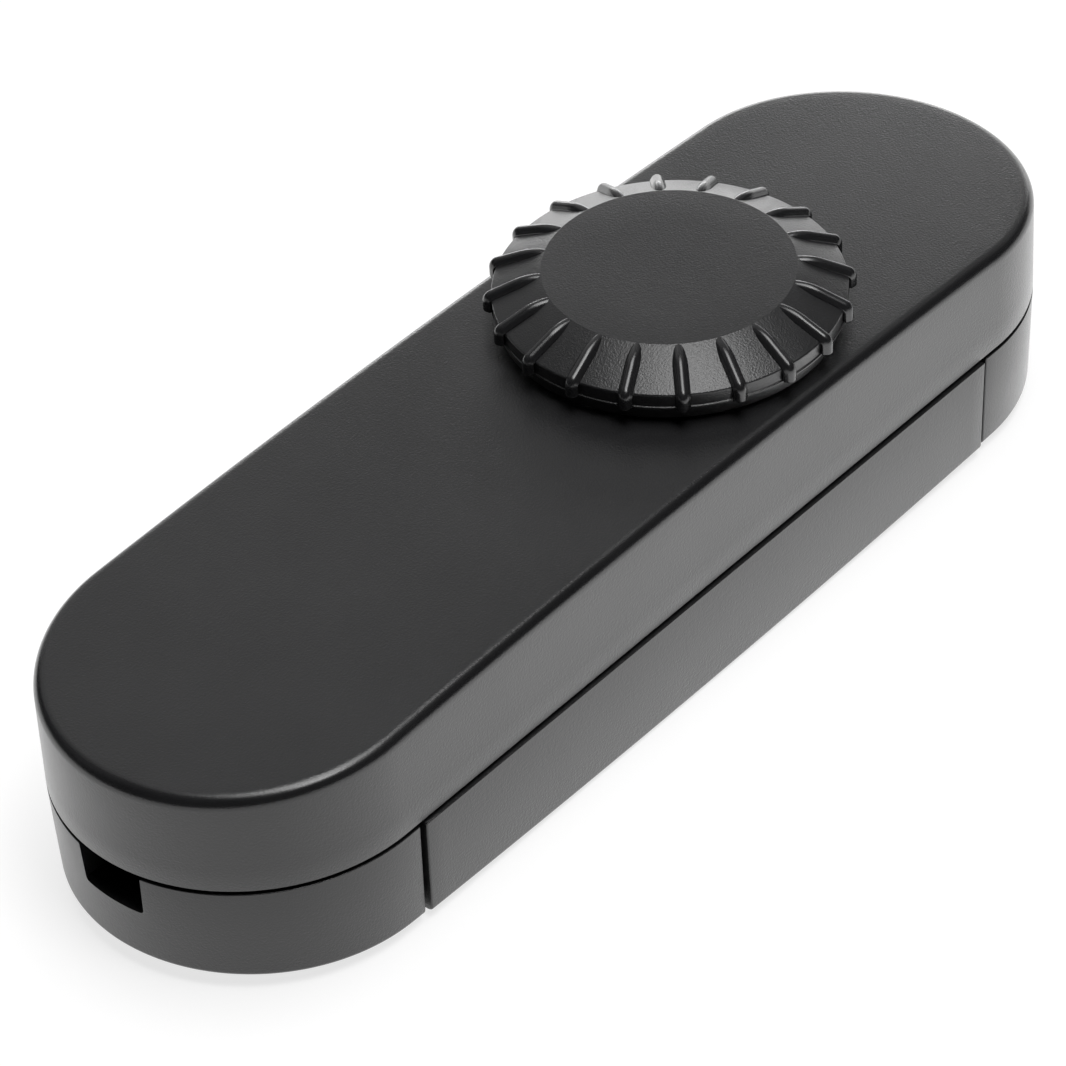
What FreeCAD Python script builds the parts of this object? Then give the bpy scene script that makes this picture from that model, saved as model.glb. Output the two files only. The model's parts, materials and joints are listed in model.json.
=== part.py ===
import FreeCAD, Part
import math
import os

# Rotary cord dimmer: a stadium-shaped housing that sits in a lamp's cord, with a ribbed knob on top.
# Millimetres. X runs along the housing towards the knob's end, Z is up, and the origin lies
# under the middle of the housing, on the surface that it rests on.

V = FreeCAD.Vector
Z_AXIS = V(0, 0, 1)

# Housing, outside
body_length = 116.6
body_width = 35.0
body_height = 22.8
roof_arch = 1.55
floor_arch = 1.6
upper_height = 11.25
shadow_gap = 0.5
upper_draft = 0.37
lower_draft = 0.27
roof_edge_chamfer = 0.65
floor_edge_chamfer = 0.45

# Housing, inside
wall = 2.0
tongue_thickness = 0.9
tongue_height = 1.8
housing_fit = 0.15
column_sides = 8

# Seams between the base and the two end covers
seam_inset = 1.9
seam_gap = 0.5
seam_tongue = 1.5
panel_proud = 0.25
panel_edge_chamfer = 0.3

# Feet under the base, which keep the arched floor from rocking
foot_radius = 2.5
foot_setback = 5.0
foot_inset = 5.5

# Cord entry in each end cover
slot_width = 7.0
slot_depth = 4.1
slot_corner_radius = 0.8

# Housing screws and the posts and bosses that take them
boss_radius = 2.7
boss_wall_gap = 0.4
screw_radius = 1.3
screw_hole_clearance = 0.3
pilot_clearance = 0.02
screw_head_radius = 2.4
screw_head_height = 1.8
head_pocket_clearance = 0.35
head_pocket_depth = 3.0
screw_grip = 6.0
pilot_extra_depth = 0.8
end_screw_angle = 72.0

# Knob
knob_x = 15.1
knob_disc_radius = 11.3
knob_rim_radius = 15.83
knob_skirt_radius = 15.5
knob_wall = 1.6
knob_roof = 2.4
knob_lift = 0.65
knob_skirt_height = 1.3
knob_rim_height = 1.5
knob_chamfer_height = 2.05
hub_radius = 5.2
rib_count = 20
rib_phase = 7.5
rib_width = 1.2
rib_height = 0.55
rib_proud_of_rim = 0.75
rib_edge_chamfer = 0.35
rib_corner_chamfer = 0.6
rib_start = 0.25
rib_toe_depth = 0.05
rib_rise_length = 1.6
rib_root = 0.5
rib_overhang = 0.35

# Potentiometer
shaft_radius = 3.0
shaft_running_clearance = 0.05
shaft_flat_depth = 0.8
shaft_knob_clearance = 0.02
shaft_top_gap = 0.2
bush_radius = 3.9
bush_plate_width = 11.0
bush_plate_thickness = 0.8
bush_stand = 0.4
bush_knob_gap = 0.3
bush_hole_clearance = 0.2
pot_width = 16.4
pot_wall = 1.2
pot_roof_gap = 0.35
pot_inside_clearance = 0.1
track_thickness = 0.8
rotor_gap = 0.5
rotor_thickness = 1.2
rotor_lift = 0.75
wiper_thickness = 0.3
wiper_width = 1.6
wiper_end_gap = 0.6
wiper_finger_width = 0.8
wiper_finger_gap = 0.05
pin_width = 0.8
pin_pitch = 2.5
pin_inset = 1.4
pin_tail = 0.9
pin_hole_clearance = 0.15

# Circuit board
board_thickness = 1.6
board_lift = 1.05
board_edge_gap = 0.6
board_end_gap = 1.0
board_corner_chamfer = 1.5
board_neck_margin = 1.4
board_post_width = 3.0
board_post_setback = 8.0
board_rib_thickness = 1.5
board_rib_width = 12.0
board_rib_setback = 2.4

# Parts under the board, each at its own gap from the board's long edge and above the housing's floor
film_cap_length = 16.0
film_cap_width = 8.0
film_cap_floor_gap = 1.4
film_cap_edge_chamfer = 0.6
film_cap_x = -17.0
film_cap_edge_gap = 2.9
can_radius = 4.0
can_floor_gap = 1.6
can_x = 1.5
can_edge_gap = 2.9
choke_x = -17.5
choke_edge_gap = 5.3
choke_length = 13.0
choke_core_width = 4.0
choke_floor_gap = 1.4
choke_limb = 2.6
choke_middle_limb = 3.6
winding_wall = 2.0
winding_clearance = 0.05
winding_edge_chamfer = 0.8
fuse_x = 4.0
fuse_edge_gap = 3.9
fuse_length = 8.5
fuse_width = 4.0
fuse_floor_gap = 3.1
fuse_edge_chamfer = 0.6
sink_setback = 15.8
sink_edge_gap = 1.9
sink_length = 20.0
sink_floor_gap = 1.8
sink_thickness = 1.5
sink_foot = 4.2
transistor_width = 10.0
transistor_depth = 4.5
transistor_body_height = 4.6
transistor_lead_length = 1.0
transistor_tab_thickness = 1.3
lead_width = 0.7
lead_pitch = 2.54

# Terminals at each end of the board
terminal_seam_gap = 0.9
terminal_length = 6.8
terminal_width = 11.2
terminal_floor_gap = 2.0
terminal_pitch = 5.2
terminal_wall = 1.0
cage_clearance = 0.05
cage_roof = 1.0
wire_window = 2.6
wire_entry_clearance = 0.2
terminal_screw_radius = 1.4
terminal_screw_clearance = 0.05
terminal_screw_recess = 0.6
block_edge_chamfer = 0.5

# Cord clamp at each end: a saddle on the cover above the cord and a ridge on the end cover below it
clamp_offset = 9.6
saddle_thickness = 2.0
saddle_width = 13.0
ridge_thickness = 1.6
ridge_width = 11.0
ridge_height = 1.0

# Derived sizes and levels
end_radius = body_width / 2
half_length = body_length / 2
half_straight = half_length - end_radius
seam_x = half_straight - seam_inset
parting_height = body_height - upper_height
lower_top = parting_height - shadow_gap
slot_floor = lower_top - slot_depth
board_bottom = parting_height + board_lift
board_top = board_bottom + board_thickness
cavity_half_width = end_radius - wall - upper_draft
lower_room_radius = end_radius - wall - lower_draft
board_half_width = cavity_half_width - board_edge_gap
clamp_x = half_straight + clamp_offset
terminal_x = seam_x + terminal_seam_gap
board_end = clamp_x - saddle_thickness / 2 - board_end_gap
sink_x = half_straight - sink_setback
sink_y = board_half_width - sink_edge_gap
film_cap_y = board_half_width - film_cap_edge_gap - film_cap_width / 2
can_y = board_half_width - can_edge_gap - can_radius
choke_y = choke_core_width / 2 + choke_edge_gap - board_half_width
fuse_y = fuse_width / 2 + fuse_edge_gap - board_half_width
margin = body_height


def arch_height(x, middle, change):
    """Height at x of an arc that is at middle above the origin and changes by change at the tips."""
    radius = (half_length ** 2 + change ** 2) / (2 * abs(change))
    drop = radius - math.sqrt(radius ** 2 - x ** 2)
    return middle + math.copysign(drop, change)


def box(x, y, z):
    """Block between three pairs of limits."""
    return Part.makeBox(x[1] - x[0], y[1] - y[0], z[1] - z[0], V(x[0], y[0], z[0]))


def around(middle, width):
    """Pair of limits, half the width to each side of the middle."""
    return (middle - width / 2, middle + width / 2)


def rod(x, y, radius, z):
    """Upright cylinder between two heights."""
    return Part.makeCylinder(radius, z[1] - z[0], V(x, y, z[0]))


def column(x, y, radius, z, sides=column_sides):
    """Upright column with flat sides between two heights, its radius measured to the flats."""
    half_step = math.pi / sides
    corner = radius / math.cos(half_step)
    angles = [half_step * (2 * n + 1) for n in range(sides)]
    points = [V(x + corner * math.cos(a), y + corner * math.sin(a), z[0]) for a in angles]
    return Part.Face(Part.makePolygon(points + points[:1])).extrude(V(0, 0, z[1] - z[0]))


def turned(points):
    """Solid of revolution about the upright axis from (radius, height) points."""
    wire = Part.makePolygon([V(r, 0, z) for r, z in points + points[:1]])
    return Part.Face(wire).revolve(V(0, 0, 0), Z_AXIS, 360)


def chamfered_box(x, y, z, size):
    """Block with chamfered upright edges."""
    block = box(x, y, z)
    upright = [e for e in block.Edges if e.BoundBox.ZLength > 0.5 * (z[1] - z[0])]
    return block.makeChamfer(size, upright)


def stadium_block(low, high):
    """Stadium prism between two (radius, height) pairs, drafted where the radii differ."""
    wide, bottom = low
    narrow, top = high
    ring = [(-wide, bottom), (wide, bottom), (narrow, top), (-narrow, top)]
    points = [V(-half_straight, y, z) for y, z in ring]
    middle = Part.Face(Part.makePolygon(points + points[:1])).extrude(V(2 * half_straight, 0, 0))
    ends = []
    for x in (-half_straight, half_straight):
        if abs(wide - narrow) < 1e-6:
            ends.append(rod(x, 0, wide, (bottom, top)))
        else:
            ends.append(Part.makeCone(wide, narrow, top - bottom, V(x, 0, bottom)))
    return middle.fuse(ends)


def arch_block(middle, change, flat):
    """Block between a surface that is arched along the length and a flat level."""
    reach = half_length + 2
    ends = arch_height(reach, middle, change)
    arc = Part.Arc(V(-reach, 0, ends), V(0, 0, middle), V(reach, 0, ends)).toShape()
    sides = Part.makePolygon([V(reach, 0, ends), V(reach, 0, flat), V(-reach, 0, flat), V(-reach, 0, ends)])
    face = Part.Face(Part.Wire([arc] + sides.Edges))
    block = face.extrude(V(0, 2 * body_width, 0))
    block.translate(V(0, -body_width, 0))
    return block


def upper_block():
    """Outer form of the upper half, drafted inwards from the parting level up to the arched roof."""
    slope = upper_draft / upper_height
    low = (end_radius, parting_height)
    high = (end_radius - slope * margin, parting_height + margin)
    walls = stadium_block(low, high)
    return walls.common(arch_block(body_height, -roof_arch, parting_height - margin))


def upper_room():
    """Room inside the upper half, with straight walls, under the roof."""
    walls = stadium_block((cavity_half_width, parting_height), (cavity_half_width, parting_height + margin))
    return walls.common(arch_block(body_height - wall, -roof_arch, parting_height - margin))


def lower_block(inset, floor_rise):
    """Form of the lower half, inset from its drafted walls and arched floor, open upwards."""
    slope = lower_draft / lower_top
    low = (end_radius - inset - slope * (lower_top + margin), -margin)
    high = (end_radius - inset + slope * margin, lower_top + margin)
    walls = stadium_block(low, high)
    return walls.common(arch_block(floor_rise, floor_arch, lower_top + margin))


def lower_room():
    """Room inside the lower half, with straight walls, above the floor, open upwards."""
    walls = stadium_block((lower_room_radius, -margin), (lower_room_radius, lower_top + margin))
    return walls.common(arch_block(wall, floor_arch, lower_top + margin))


def between_x(low, high):
    """Slab across the housing between two places along its length."""
    return box((low, high), (-body_width, body_width), (-margin, 3 * margin))


def above(z):
    """Everything above a level."""
    return box((-body_length, body_length), (-body_width, body_width), (z, 4 * margin))


def below(z):
    """Everything below a level."""
    return box((-body_length, body_length), (-body_width, body_width), (-4 * margin, z))


def tongue_ring():
    """Lip that stands up inside the upper half's rebate and closes the shadow gap."""
    z = (lower_top - wall, parting_height + tongue_height)
    outer_radius = end_radius - wall + tongue_thickness
    outer = stadium_block((outer_radius, z[0]), (outer_radius, z[1]))
    return outer.cut(stadium_block((lower_room_radius, z[0]), (lower_room_radius, z[1])))


def both_ends(shape):
    """A far-end solid and the same solid turned round to the near end."""
    near = shape.copy()
    near.rotate(V(0, 0, 0), Z_AXIS, 180)
    return shape, near


def both_ends_of(shapes):
    """Far-end solids followed by the same solids turned round to the near end."""
    pairs = [both_ends(shape) for shape in shapes]
    return [far for far, near in pairs] + [near for far, near in pairs]


def screw_places():
    """Places of the two screws of the far end cover."""
    radius = end_radius - upper_draft - wall - boss_wall_gap - boss_radius
    x = half_straight + radius * math.cos(math.radians(end_screw_angle))
    y = radius * math.sin(math.radians(end_screw_angle))
    return [(x, -y), (x, y)]


def head_seat(x):
    """Height of the shoulder that a screw's head bears on."""
    return arch_height(x, 0, floor_arch) + head_pocket_depth


def make_screws():
    """Screws that hold the far end cover to the top cover: plain head and shank, driven upwards."""
    screws = []
    for x, y in screw_places():
        seat = head_seat(x)
        head = column(x, y, screw_head_radius, (seat - screw_head_height, seat))
        screws.append(head.fuse(column(x, y, screw_radius, (seat, parting_height + screw_grip))))
    return screws


def make_top_cover():
    """Upper shell: arched roof, rebate for the tongues, screw bosses, cord saddles and knob hole."""
    outer = upper_block()
    rim = [e for e in outer.Edges if e.BoundBox.ZMin > (parting_height + body_height) / 2]
    outer = outer.makeChamfer(roof_edge_chamfer, rim)
    cavity = upper_room()
    rebate_radius = end_radius - wall + tongue_thickness + housing_fit
    rebate_top = parting_height + tongue_height + housing_fit
    rebate = stadium_block((rebate_radius, parting_height), (rebate_radius, rebate_top))
    bosses = [column(x, y, boss_radius, (parting_height, body_height)) for x, y in screw_places()]
    bosses.append(box(around(clamp_x, saddle_thickness), around(0, saddle_width),
                      (parting_height, body_height)))
    post_x = seam_x - board_post_setback
    post_y = board_half_width - board_post_width
    bosses += [box(around(post_x, board_post_width), around(side * post_y, board_post_width),
                   (board_top, body_height)) for side in (-1, 1)]
    bosses = both_ends_of(bosses)
    posts = bosses[0].fuse(bosses[1:]).common(cavity)
    shell = outer.cut(cavity.fuse(rebate)).fuse(posts)
    pilots = both_ends_of([column(x, y, screw_radius + pilot_clearance,
                                  (parting_height, parting_height + screw_grip + pilot_extra_depth))
                           for x, y in screw_places()])
    knob_hole = column(knob_x, 0, bush_radius + bush_hole_clearance, (board_top, body_height + margin))
    return shell.cut(pilots[0].fuse(pilots[1:] + [knob_hole]))


def make_base():
    """Middle of the lower half: floor and side panels, tongues all round, ribs under the board and feet."""
    end = seam_x - seam_gap / 2
    block = lower_block(-panel_proud, 0).common(between_x(-end, end)).common(below(lower_top))
    corners = [e for e in block.Edges if e.BoundBox.ZLength > lower_top / 2]
    block = block.makeChamfer(panel_edge_chamfer, corners)
    long_edges = [e for e in block.Edges
                  if e.BoundBox.ZMax < lower_top / 2 and e.BoundBox.XLength > body_length / 2]
    block = block.makeChamfer(floor_edge_chamfer, long_edges)
    cavity = lower_room()
    shell = block.cut(cavity)
    reach = end + seam_gap + seam_tongue
    lip = lower_block(wall - tongue_thickness, wall - tongue_thickness).cut(cavity)
    lip = lip.common(below(lower_top)).common(between_x(-reach, reach))
    lip = lip.fuse(tongue_ring().common(between_x(-reach, reach)))
    rib = box(around(seam_x - board_rib_setback, board_rib_thickness), around(0, board_rib_width),
              (0, board_bottom))
    foot_x = seam_x - foot_setback
    foot_y = end_radius - foot_inset
    feet = both_ends_of([column(foot_x, side * foot_y, foot_radius, (0, wall)) for side in (-1, 1)])
    ribs = [r.common(lower_block(0, wall / 2)) for r in both_ends(rib)]
    return shell.fuse([lip] + ribs + feet).removeSplitter()


def screw_post(x, y):
    """Post that rises from the floor to the parting level round a screw, wide round its head."""
    wide = column(x, y, screw_head_radius + head_pocket_clearance + wall / 2, (0, head_seat(x) + wall))
    return wide.fuse(column(x, y, boss_radius, (0, parting_height)))


def screw_bore(x, y):
    """Head pocket and shank hole of a screw, cut from below."""
    pocket = rod(x, y, screw_head_radius + head_pocket_clearance, (-margin, head_seat(x)))
    return pocket.fuse(column(x, y, screw_radius + screw_hole_clearance, (0, parting_height)))


def make_end_cover():
    """Far end of the lower half: a round shell with the cord slot, the clamp's ridge and two screw posts."""
    start = seam_x + seam_gap / 2
    block = lower_block(0, 0).common(between_x(start, body_length)).common(below(lower_top))
    rim = [e for e in block.Edges
           if e.BoundBox.ZMax < lower_top / 2 and e.BoundBox.XLength > seam_inset / 2]
    block = block.makeChamfer(floor_edge_chamfer, rim)
    shell = block.cut(lower_room())
    step = wall - tongue_thickness - housing_fit
    lip_end = start + seam_tongue + housing_fit
    shell = shell.cut(lower_block(step, step).common(between_x(0, lip_end)))
    lip = tongue_ring().common(between_x(lip_end, body_length))
    ridge = box(around(clamp_x, ridge_thickness), around(0, ridge_width), (0, slot_floor + ridge_height))
    posts = [screw_post(x, y) for x, y in screw_places()]
    room = lower_block(wall / 2, wall / 2).common(between_x(lip_end, body_length))
    bores = [screw_bore(x, y) for x, y in screw_places()]
    slot = box((half_length - 2 * wall, half_length + wall), around(0, slot_width),
               (slot_floor, parting_height + margin))
    low_edges = [e for e in slot.Edges if e.BoundBox.ZMax < slot_floor + wall and e.BoundBox.XLength > wall]
    slot = slot.makeFillet(slot_corner_radius, low_edges)
    whole = shell.fuse([lip] + [p.common(room) for p in posts + [ridge]])
    return whole.cut(bores[0].fuse(bores[1:] + [slot])).removeSplitter()


# Knob and potentiometer levels, all from the roof and the board
roof_at_knob = arch_height(knob_x, body_height, -roof_arch)
ceiling_at_knob = arch_height(knob_x, body_height - wall, -roof_arch)
bush_top = roof_at_knob + bush_stand
hub_bottom = bush_top + bush_knob_gap
skirt_bottom = body_height + knob_lift
rim_bottom = skirt_bottom + knob_skirt_height
rim_top = rim_bottom + knob_rim_height
disc_top = rim_top + knob_chamfer_height
disc_bottom = disc_top - knob_roof
pot_top = ceiling_at_knob - pot_roof_gap
pot_inner_top = pot_top - pot_wall
pot_inner_width = pot_width - 2 * pot_wall
rotor_radius = pot_inner_width / 2 - rotor_gap
rotor_flat = rotor_radius * math.cos(math.pi / column_sides)
track_width = pot_inner_width - 2 * pot_inside_clearance
track_top = board_top + track_thickness
rotor_bottom = track_top + rotor_lift
rotor_top = rotor_bottom + rotor_thickness
shaft_top = disc_bottom - shaft_top_gap


def shaft_section(clearance, z):
    """Round shaft with one flat, between two heights."""
    flat = knob_x + shaft_radius - shaft_flat_depth + clearance
    keep = box((knob_x - 2 * shaft_radius, flat), (-2 * shaft_radius, 2 * shaft_radius), z)
    return rod(knob_x, 0, shaft_radius + clearance, z).common(keep)


def knob_rib():
    """One rib between two radial planes: it rises out of the chamfer, turns over the rim and runs down."""
    along = V(knob_rim_radius - knob_disc_radius, 0, -knob_chamfer_height)
    along.normalize()
    outward = V(-along.z, 0, along.x)
    start = V(knob_disc_radius, 0, disc_top) + along * rib_start - outward * rib_toe_depth
    crest = start + along * rib_rise_length + outward * (rib_height + rib_toe_depth)
    wall_r = knob_rim_radius + rib_proud_of_rim
    corner = crest + along * ((wall_r - crest.x) / along.x)
    low = rim_bottom - rib_overhang
    root_r = knob_rim_radius - rib_root
    outline = [start, crest, corner - along * rib_corner_chamfer, corner - Z_AXIS * rib_corner_chamfer,
               V(wall_r, 0, low), V(root_r, 0, low), V(root_r, 0, rim_top)]
    block = Part.Face(Part.makePolygon(outline + outline[:1])).extrude(V(0, 2 * rib_width, 0))
    block.translate(V(0, -rib_width, 0))
    reach = 2 * wall_r
    spread = rib_width * reach / (2 * wall_r)
    sector = [V(0, 0, low), V(reach, -spread, low), V(reach, spread, low)]
    wedge = Part.Face(Part.makePolygon(sector + sector[:1])).extrude(V(0, 0, reach))
    block = block.common(wedge)
    middles = [(a + b) / 2 for a, b in zip(outline[1:4], outline[2:5])]
    crests = []
    for edge in block.Edges:
        centre = edge.CenterOfMass
        if any(V(centre.x, 0, centre.z).distanceToPoint(m) < 0.01 for m in middles):
            crests.append(edge)
    return block.makeChamfer(rib_edge_chamfer, crests)


def make_knob():
    """Ribbed knob: flat disc, chamfered rim, recessed skirt, hollow underside and a hub for the shaft."""
    profile = [
        (0, skirt_bottom), (knob_skirt_radius, skirt_bottom), (knob_skirt_radius, rim_bottom),
        (knob_rim_radius, rim_bottom), (knob_rim_radius, rim_top), (knob_disc_radius, disc_top),
        (0, disc_top),
    ]
    hollow = column(0, 0, knob_skirt_radius - knob_wall, (skirt_bottom, disc_bottom), rib_count)
    hub = column(0, 0, hub_radius, (hub_bottom, disc_bottom))
    first = knob_rib()
    ribs = []
    for index in range(rib_count):
        rib = first.copy()
        rib.rotate(V(0, 0, 0), Z_AXIS, rib_phase + index * 360 / rib_count)
        ribs.append(rib)
    body = turned(profile).fuse(ribs).cut(hollow).fuse(hub)
    body.translate(V(knob_x, 0, 0))
    return body.cut(shaft_section(shaft_knob_clearance, (hub_bottom, disc_bottom)))


def make_pot_shaft():
    """Shaft and rotor in one piece: the rotor's corners clear the case, and a flat takes the knob."""
    rotor = column(knob_x, 0, rotor_flat, (rotor_bottom, rotor_top))
    plain = rod(knob_x, 0, shaft_radius, (rotor_top, bush_top))
    return rotor.fuse([plain, shaft_section(0, (bush_top, shaft_top))])


def make_pot_wiper():
    """Springy contact strip under the rotor, with a finger at each end that reaches down to the track."""
    length = 2 * (rotor_radius - wiper_end_gap)
    low = rotor_bottom - wiper_thickness
    strip = box(around(knob_x, length), around(0, wiper_width), (low, rotor_bottom))
    fingers = []
    for side in (-1, 1):
        middle = knob_x + side * (length - wiper_finger_width) / 2
        fingers.append(box(around(middle, wiper_finger_width), around(0, wiper_finger_width),
                           (track_top + wiper_finger_gap, low)))
    return strip.fuse(fingers)


def make_pot_housing():
    """Square case of the potentiometer, open at the board and with a hole for the bush."""
    case = box(around(knob_x, pot_width), around(0, pot_width), (board_top, pot_top))
    room = box(around(knob_x, pot_inner_width), around(0, pot_inner_width), (board_top, pot_inner_top))
    hole = column(knob_x, 0, bush_radius + pilot_clearance, (pot_inner_top, pot_top))
    return case.cut(room.fuse(hole))


def make_pot_bush():
    """Metal bush on a square plate, which guides the shaft through the roof."""
    plate = box(around(knob_x, bush_plate_width), around(0, bush_plate_width),
                (pot_inner_top - bush_plate_thickness, pot_inner_top))
    neck = column(knob_x, 0, bush_radius, (pot_inner_top, bush_top))
    hole = rod(knob_x, 0, shaft_radius + shaft_running_clearance, (board_top, bush_top))
    return plate.fuse(neck).cut(hole)


def make_pot_track():
    """Insulating plate that carries the resistive track and closes the potentiometer at the board."""
    return box(around(knob_x, track_width), around(0, track_width), (board_top, track_top))


def pin_places():
    """Places of the potentiometer's three pins."""
    return [(knob_x + step * pin_pitch, pin_inset - track_width / 2) for step in (-1, 0, 1)]


def make_pot_pins():
    """Solder pins through the board."""
    return [box(around(x, pin_width), around(y, pin_width), (board_bottom - pin_tail, board_top))
            for x, y in pin_places()]


def make_board():
    """Circuit board: wide in the middle, necked at both ends between the screw bosses."""
    z = (board_bottom, board_top)
    wide = chamfered_box(around(0, 2 * half_straight), around(0, 2 * board_half_width), z,
                         board_corner_chamfer)
    neck = chamfered_box(around(0, 2 * board_end), around(0, terminal_width + 2 * board_neck_margin), z,
                         board_corner_chamfer)
    hole = pin_width + 2 * pin_hole_clearance
    holes = [box(around(x, hole), around(y, hole), z) for x, y in pin_places()]
    return wide.fuse(neck).removeSplitter().cut(holes[0].fuse(holes[1:]))


def under_board(floor_gap):
    """Heights between a gap above the housing's floor and the underside of the board."""
    return (wall + floor_gap, board_bottom)


def make_film_capacitor():
    """Box-shaped suppression capacitor."""
    return chamfered_box(around(film_cap_x, film_cap_length), around(film_cap_y, film_cap_width),
                         under_board(film_cap_floor_gap), film_cap_edge_chamfer)


def make_can_capacitor():
    """Round can capacitor."""
    return column(can_x, can_y, can_radius, under_board(can_floor_gap))


def make_choke_core():
    """Ferrite frame with a middle limb."""
    low, high = under_board(choke_floor_gap)
    core = box(around(choke_x, choke_length), around(choke_y, choke_core_width), (low, high))
    z = (low + choke_limb, high - choke_limb)
    window = box(around(choke_x, choke_length - 2 * choke_limb), around(choke_y, choke_core_width), z)
    limb = box(around(choke_x, choke_middle_limb), around(choke_y, choke_core_width), z)
    return core.cut(window).fuse(limb)


def make_choke_winding():
    """Wire wound round the core's middle limb, as one block."""
    inner_x = choke_middle_limb + 2 * winding_clearance
    inner_y = choke_core_width + 2 * winding_clearance
    low, high = under_board(choke_floor_gap)
    z = (low + choke_limb + winding_clearance, high - choke_limb - winding_clearance)
    outer = chamfered_box(around(choke_x, inner_x + 2 * winding_wall),
                          around(choke_y, inner_y + 2 * winding_wall), z, winding_edge_chamfer)
    return outer.cut(box(around(choke_x, inner_x), around(choke_y, inner_y), z))


def make_fuse():
    """Box-shaped fuse soldered to the board."""
    return chamfered_box(around(fuse_x, fuse_length), around(fuse_y, fuse_width),
                         under_board(fuse_floor_gap), fuse_edge_chamfer)


def make_heat_sink():
    """Bent aluminium plate: a foot on the board and a wall that cools the transistor."""
    plate = box(around(sink_x, sink_length), (sink_y - sink_thickness, sink_y),
                under_board(sink_floor_gap))
    foot_z = (board_bottom - sink_thickness, board_bottom)
    foot = box(around(sink_x, sink_length), (sink_y - sink_foot, sink_y), foot_z)
    window = box(around(sink_x, transistor_width + 2 * lead_width),
                 (sink_y - sink_foot, sink_y - sink_thickness), foot_z)
    return plate.fuse(foot.cut(window))


def make_transistor():
    """Power transistor with its tab flat on the heat sink and three leads up to the board."""
    back = sink_y - sink_thickness
    x = around(sink_x, transistor_width)
    low, high = under_board(sink_floor_gap)
    body_top = high - transistor_lead_length
    tab_top = body_top - transistor_body_height
    tab = box(x, (back - transistor_tab_thickness, back), (low, tab_top))
    body = box(x, (back - transistor_depth, back), (tab_top, body_top))
    leads = [box(around(sink_x + n * lead_pitch, lead_width), around(back - transistor_depth / 2, lead_width),
                 (body_top, high)) for n in (-1, 0, 1)]
    return tab.fuse([body] + leads)


# Terminal levels
terminal_bottom = wall + terminal_floor_gap
wire_z = (slot_floor + parting_height) / 2
cage_width = terminal_pitch - terminal_wall
cage_x = (terminal_x + terminal_wall, terminal_x + terminal_length - terminal_wall)
cage_top = wire_z + wire_window / 2 + cage_roof
pole_places = [-terminal_pitch / 2, terminal_pitch / 2]


def make_terminal_block():
    """Insulating block with a pocket for each brass cage and a wire entry towards the cord."""
    block = chamfered_box((terminal_x, terminal_x + terminal_length), around(0, terminal_width),
                          (terminal_bottom, board_bottom), block_edge_chamfer)
    entry = wire_window + 2 * wire_entry_clearance
    pocket_x = (cage_x[0] - cage_clearance, cage_x[1] + cage_clearance)
    for y in pole_places:
        pocket = box(pocket_x, around(y, cage_width + 2 * cage_clearance),
                     (terminal_bottom, cage_top + cage_clearance))
        window = box((cage_x[1], cage_x[1] + terminal_length), around(y, entry), around(wire_z, entry))
        block = block.cut(pocket.fuse(window))
    return block


def make_terminal_cages():
    """Brass cages, each with a window for a wire and a hole for its screw."""
    middle = (cage_x[0] + cage_x[1]) / 2
    cages = []
    for y in pole_places:
        cage = box(cage_x, around(y, cage_width), (terminal_bottom, cage_top))
        wire = box((cage_x[0] + terminal_wall, cage_x[1]), around(y, wire_window),
                   around(wire_z, wire_window))
        hole = column(middle, y, terminal_screw_radius + terminal_screw_clearance, (terminal_bottom, wire_z))
        cages.append(cage.cut(wire.fuse(hole)))
    return cages


def make_terminal_screws():
    """Grub screws that press the wires in the cages."""
    middle = (cage_x[0] + cage_x[1]) / 2
    z = (terminal_bottom + terminal_screw_recess, wire_z - wire_window / 2)
    return [column(middle, y, terminal_screw_radius, z) for y in pole_places]


def write(name, shape):
    """Write one node's solid, or its group of separate solids."""
    solids = shape if isinstance(shape, list) else [shape]
    loose = [solid for item in solids for solid in item.Solids]
    whole = loose[0] if len(loose) == 1 else Part.makeCompound(loose)
    whole.exportStep(os.path.join("parts", name + ".step"))
    print(name, len(loose), round(whole.Volume, 2), whole.isValid())


def main():
    """Build every piece and write it to its own file."""
    os.makedirs("parts", exist_ok=True)
    cover_far, cover_near = both_ends(make_end_cover())
    block_far, block_near = both_ends(make_terminal_block())
    cages = both_ends_of(make_terminal_cages())
    pieces = {
        "top_cover": make_top_cover(),
        "base": make_base(),
        "end_cover_near": cover_near,
        "end_cover_far": cover_far,
        "end_cover_screws": both_ends_of(make_screws()),
        "knob": make_knob(),
        "pot_shaft": make_pot_shaft(),
        "pot_wiper": make_pot_wiper(),
        "pot_housing": make_pot_housing(),
        "pot_bush": make_pot_bush(),
        "pot_track": make_pot_track(),
        "pot_pins": make_pot_pins(),
        "circuit_board": make_board(),
        "film_capacitor": make_film_capacitor(),
        "can_capacitor": make_can_capacitor(),
        "choke_core": make_choke_core(),
        "choke_winding": make_choke_winding(),
        "fuse": make_fuse(),
        "heat_sink": make_heat_sink(),
        "transistor": make_transistor(),
        "terminal_block_near": block_near,
        "terminal_block_far": block_far,
        "terminal_cages_near": cages[2:],
        "terminal_cages_far": cages[:2],
        "terminal_screws": both_ends_of(make_terminal_screws()),
    }
    for name, shape in pieces.items():
        write(name, shape)


main()
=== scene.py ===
import json
import logging
import math
from dataclasses import dataclass, fields
from enum import Enum
from typing import Any, Callable, Iterable, Optional, Sequence

import bmesh
import bpy
from mathutils import Matrix, Vector


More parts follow.
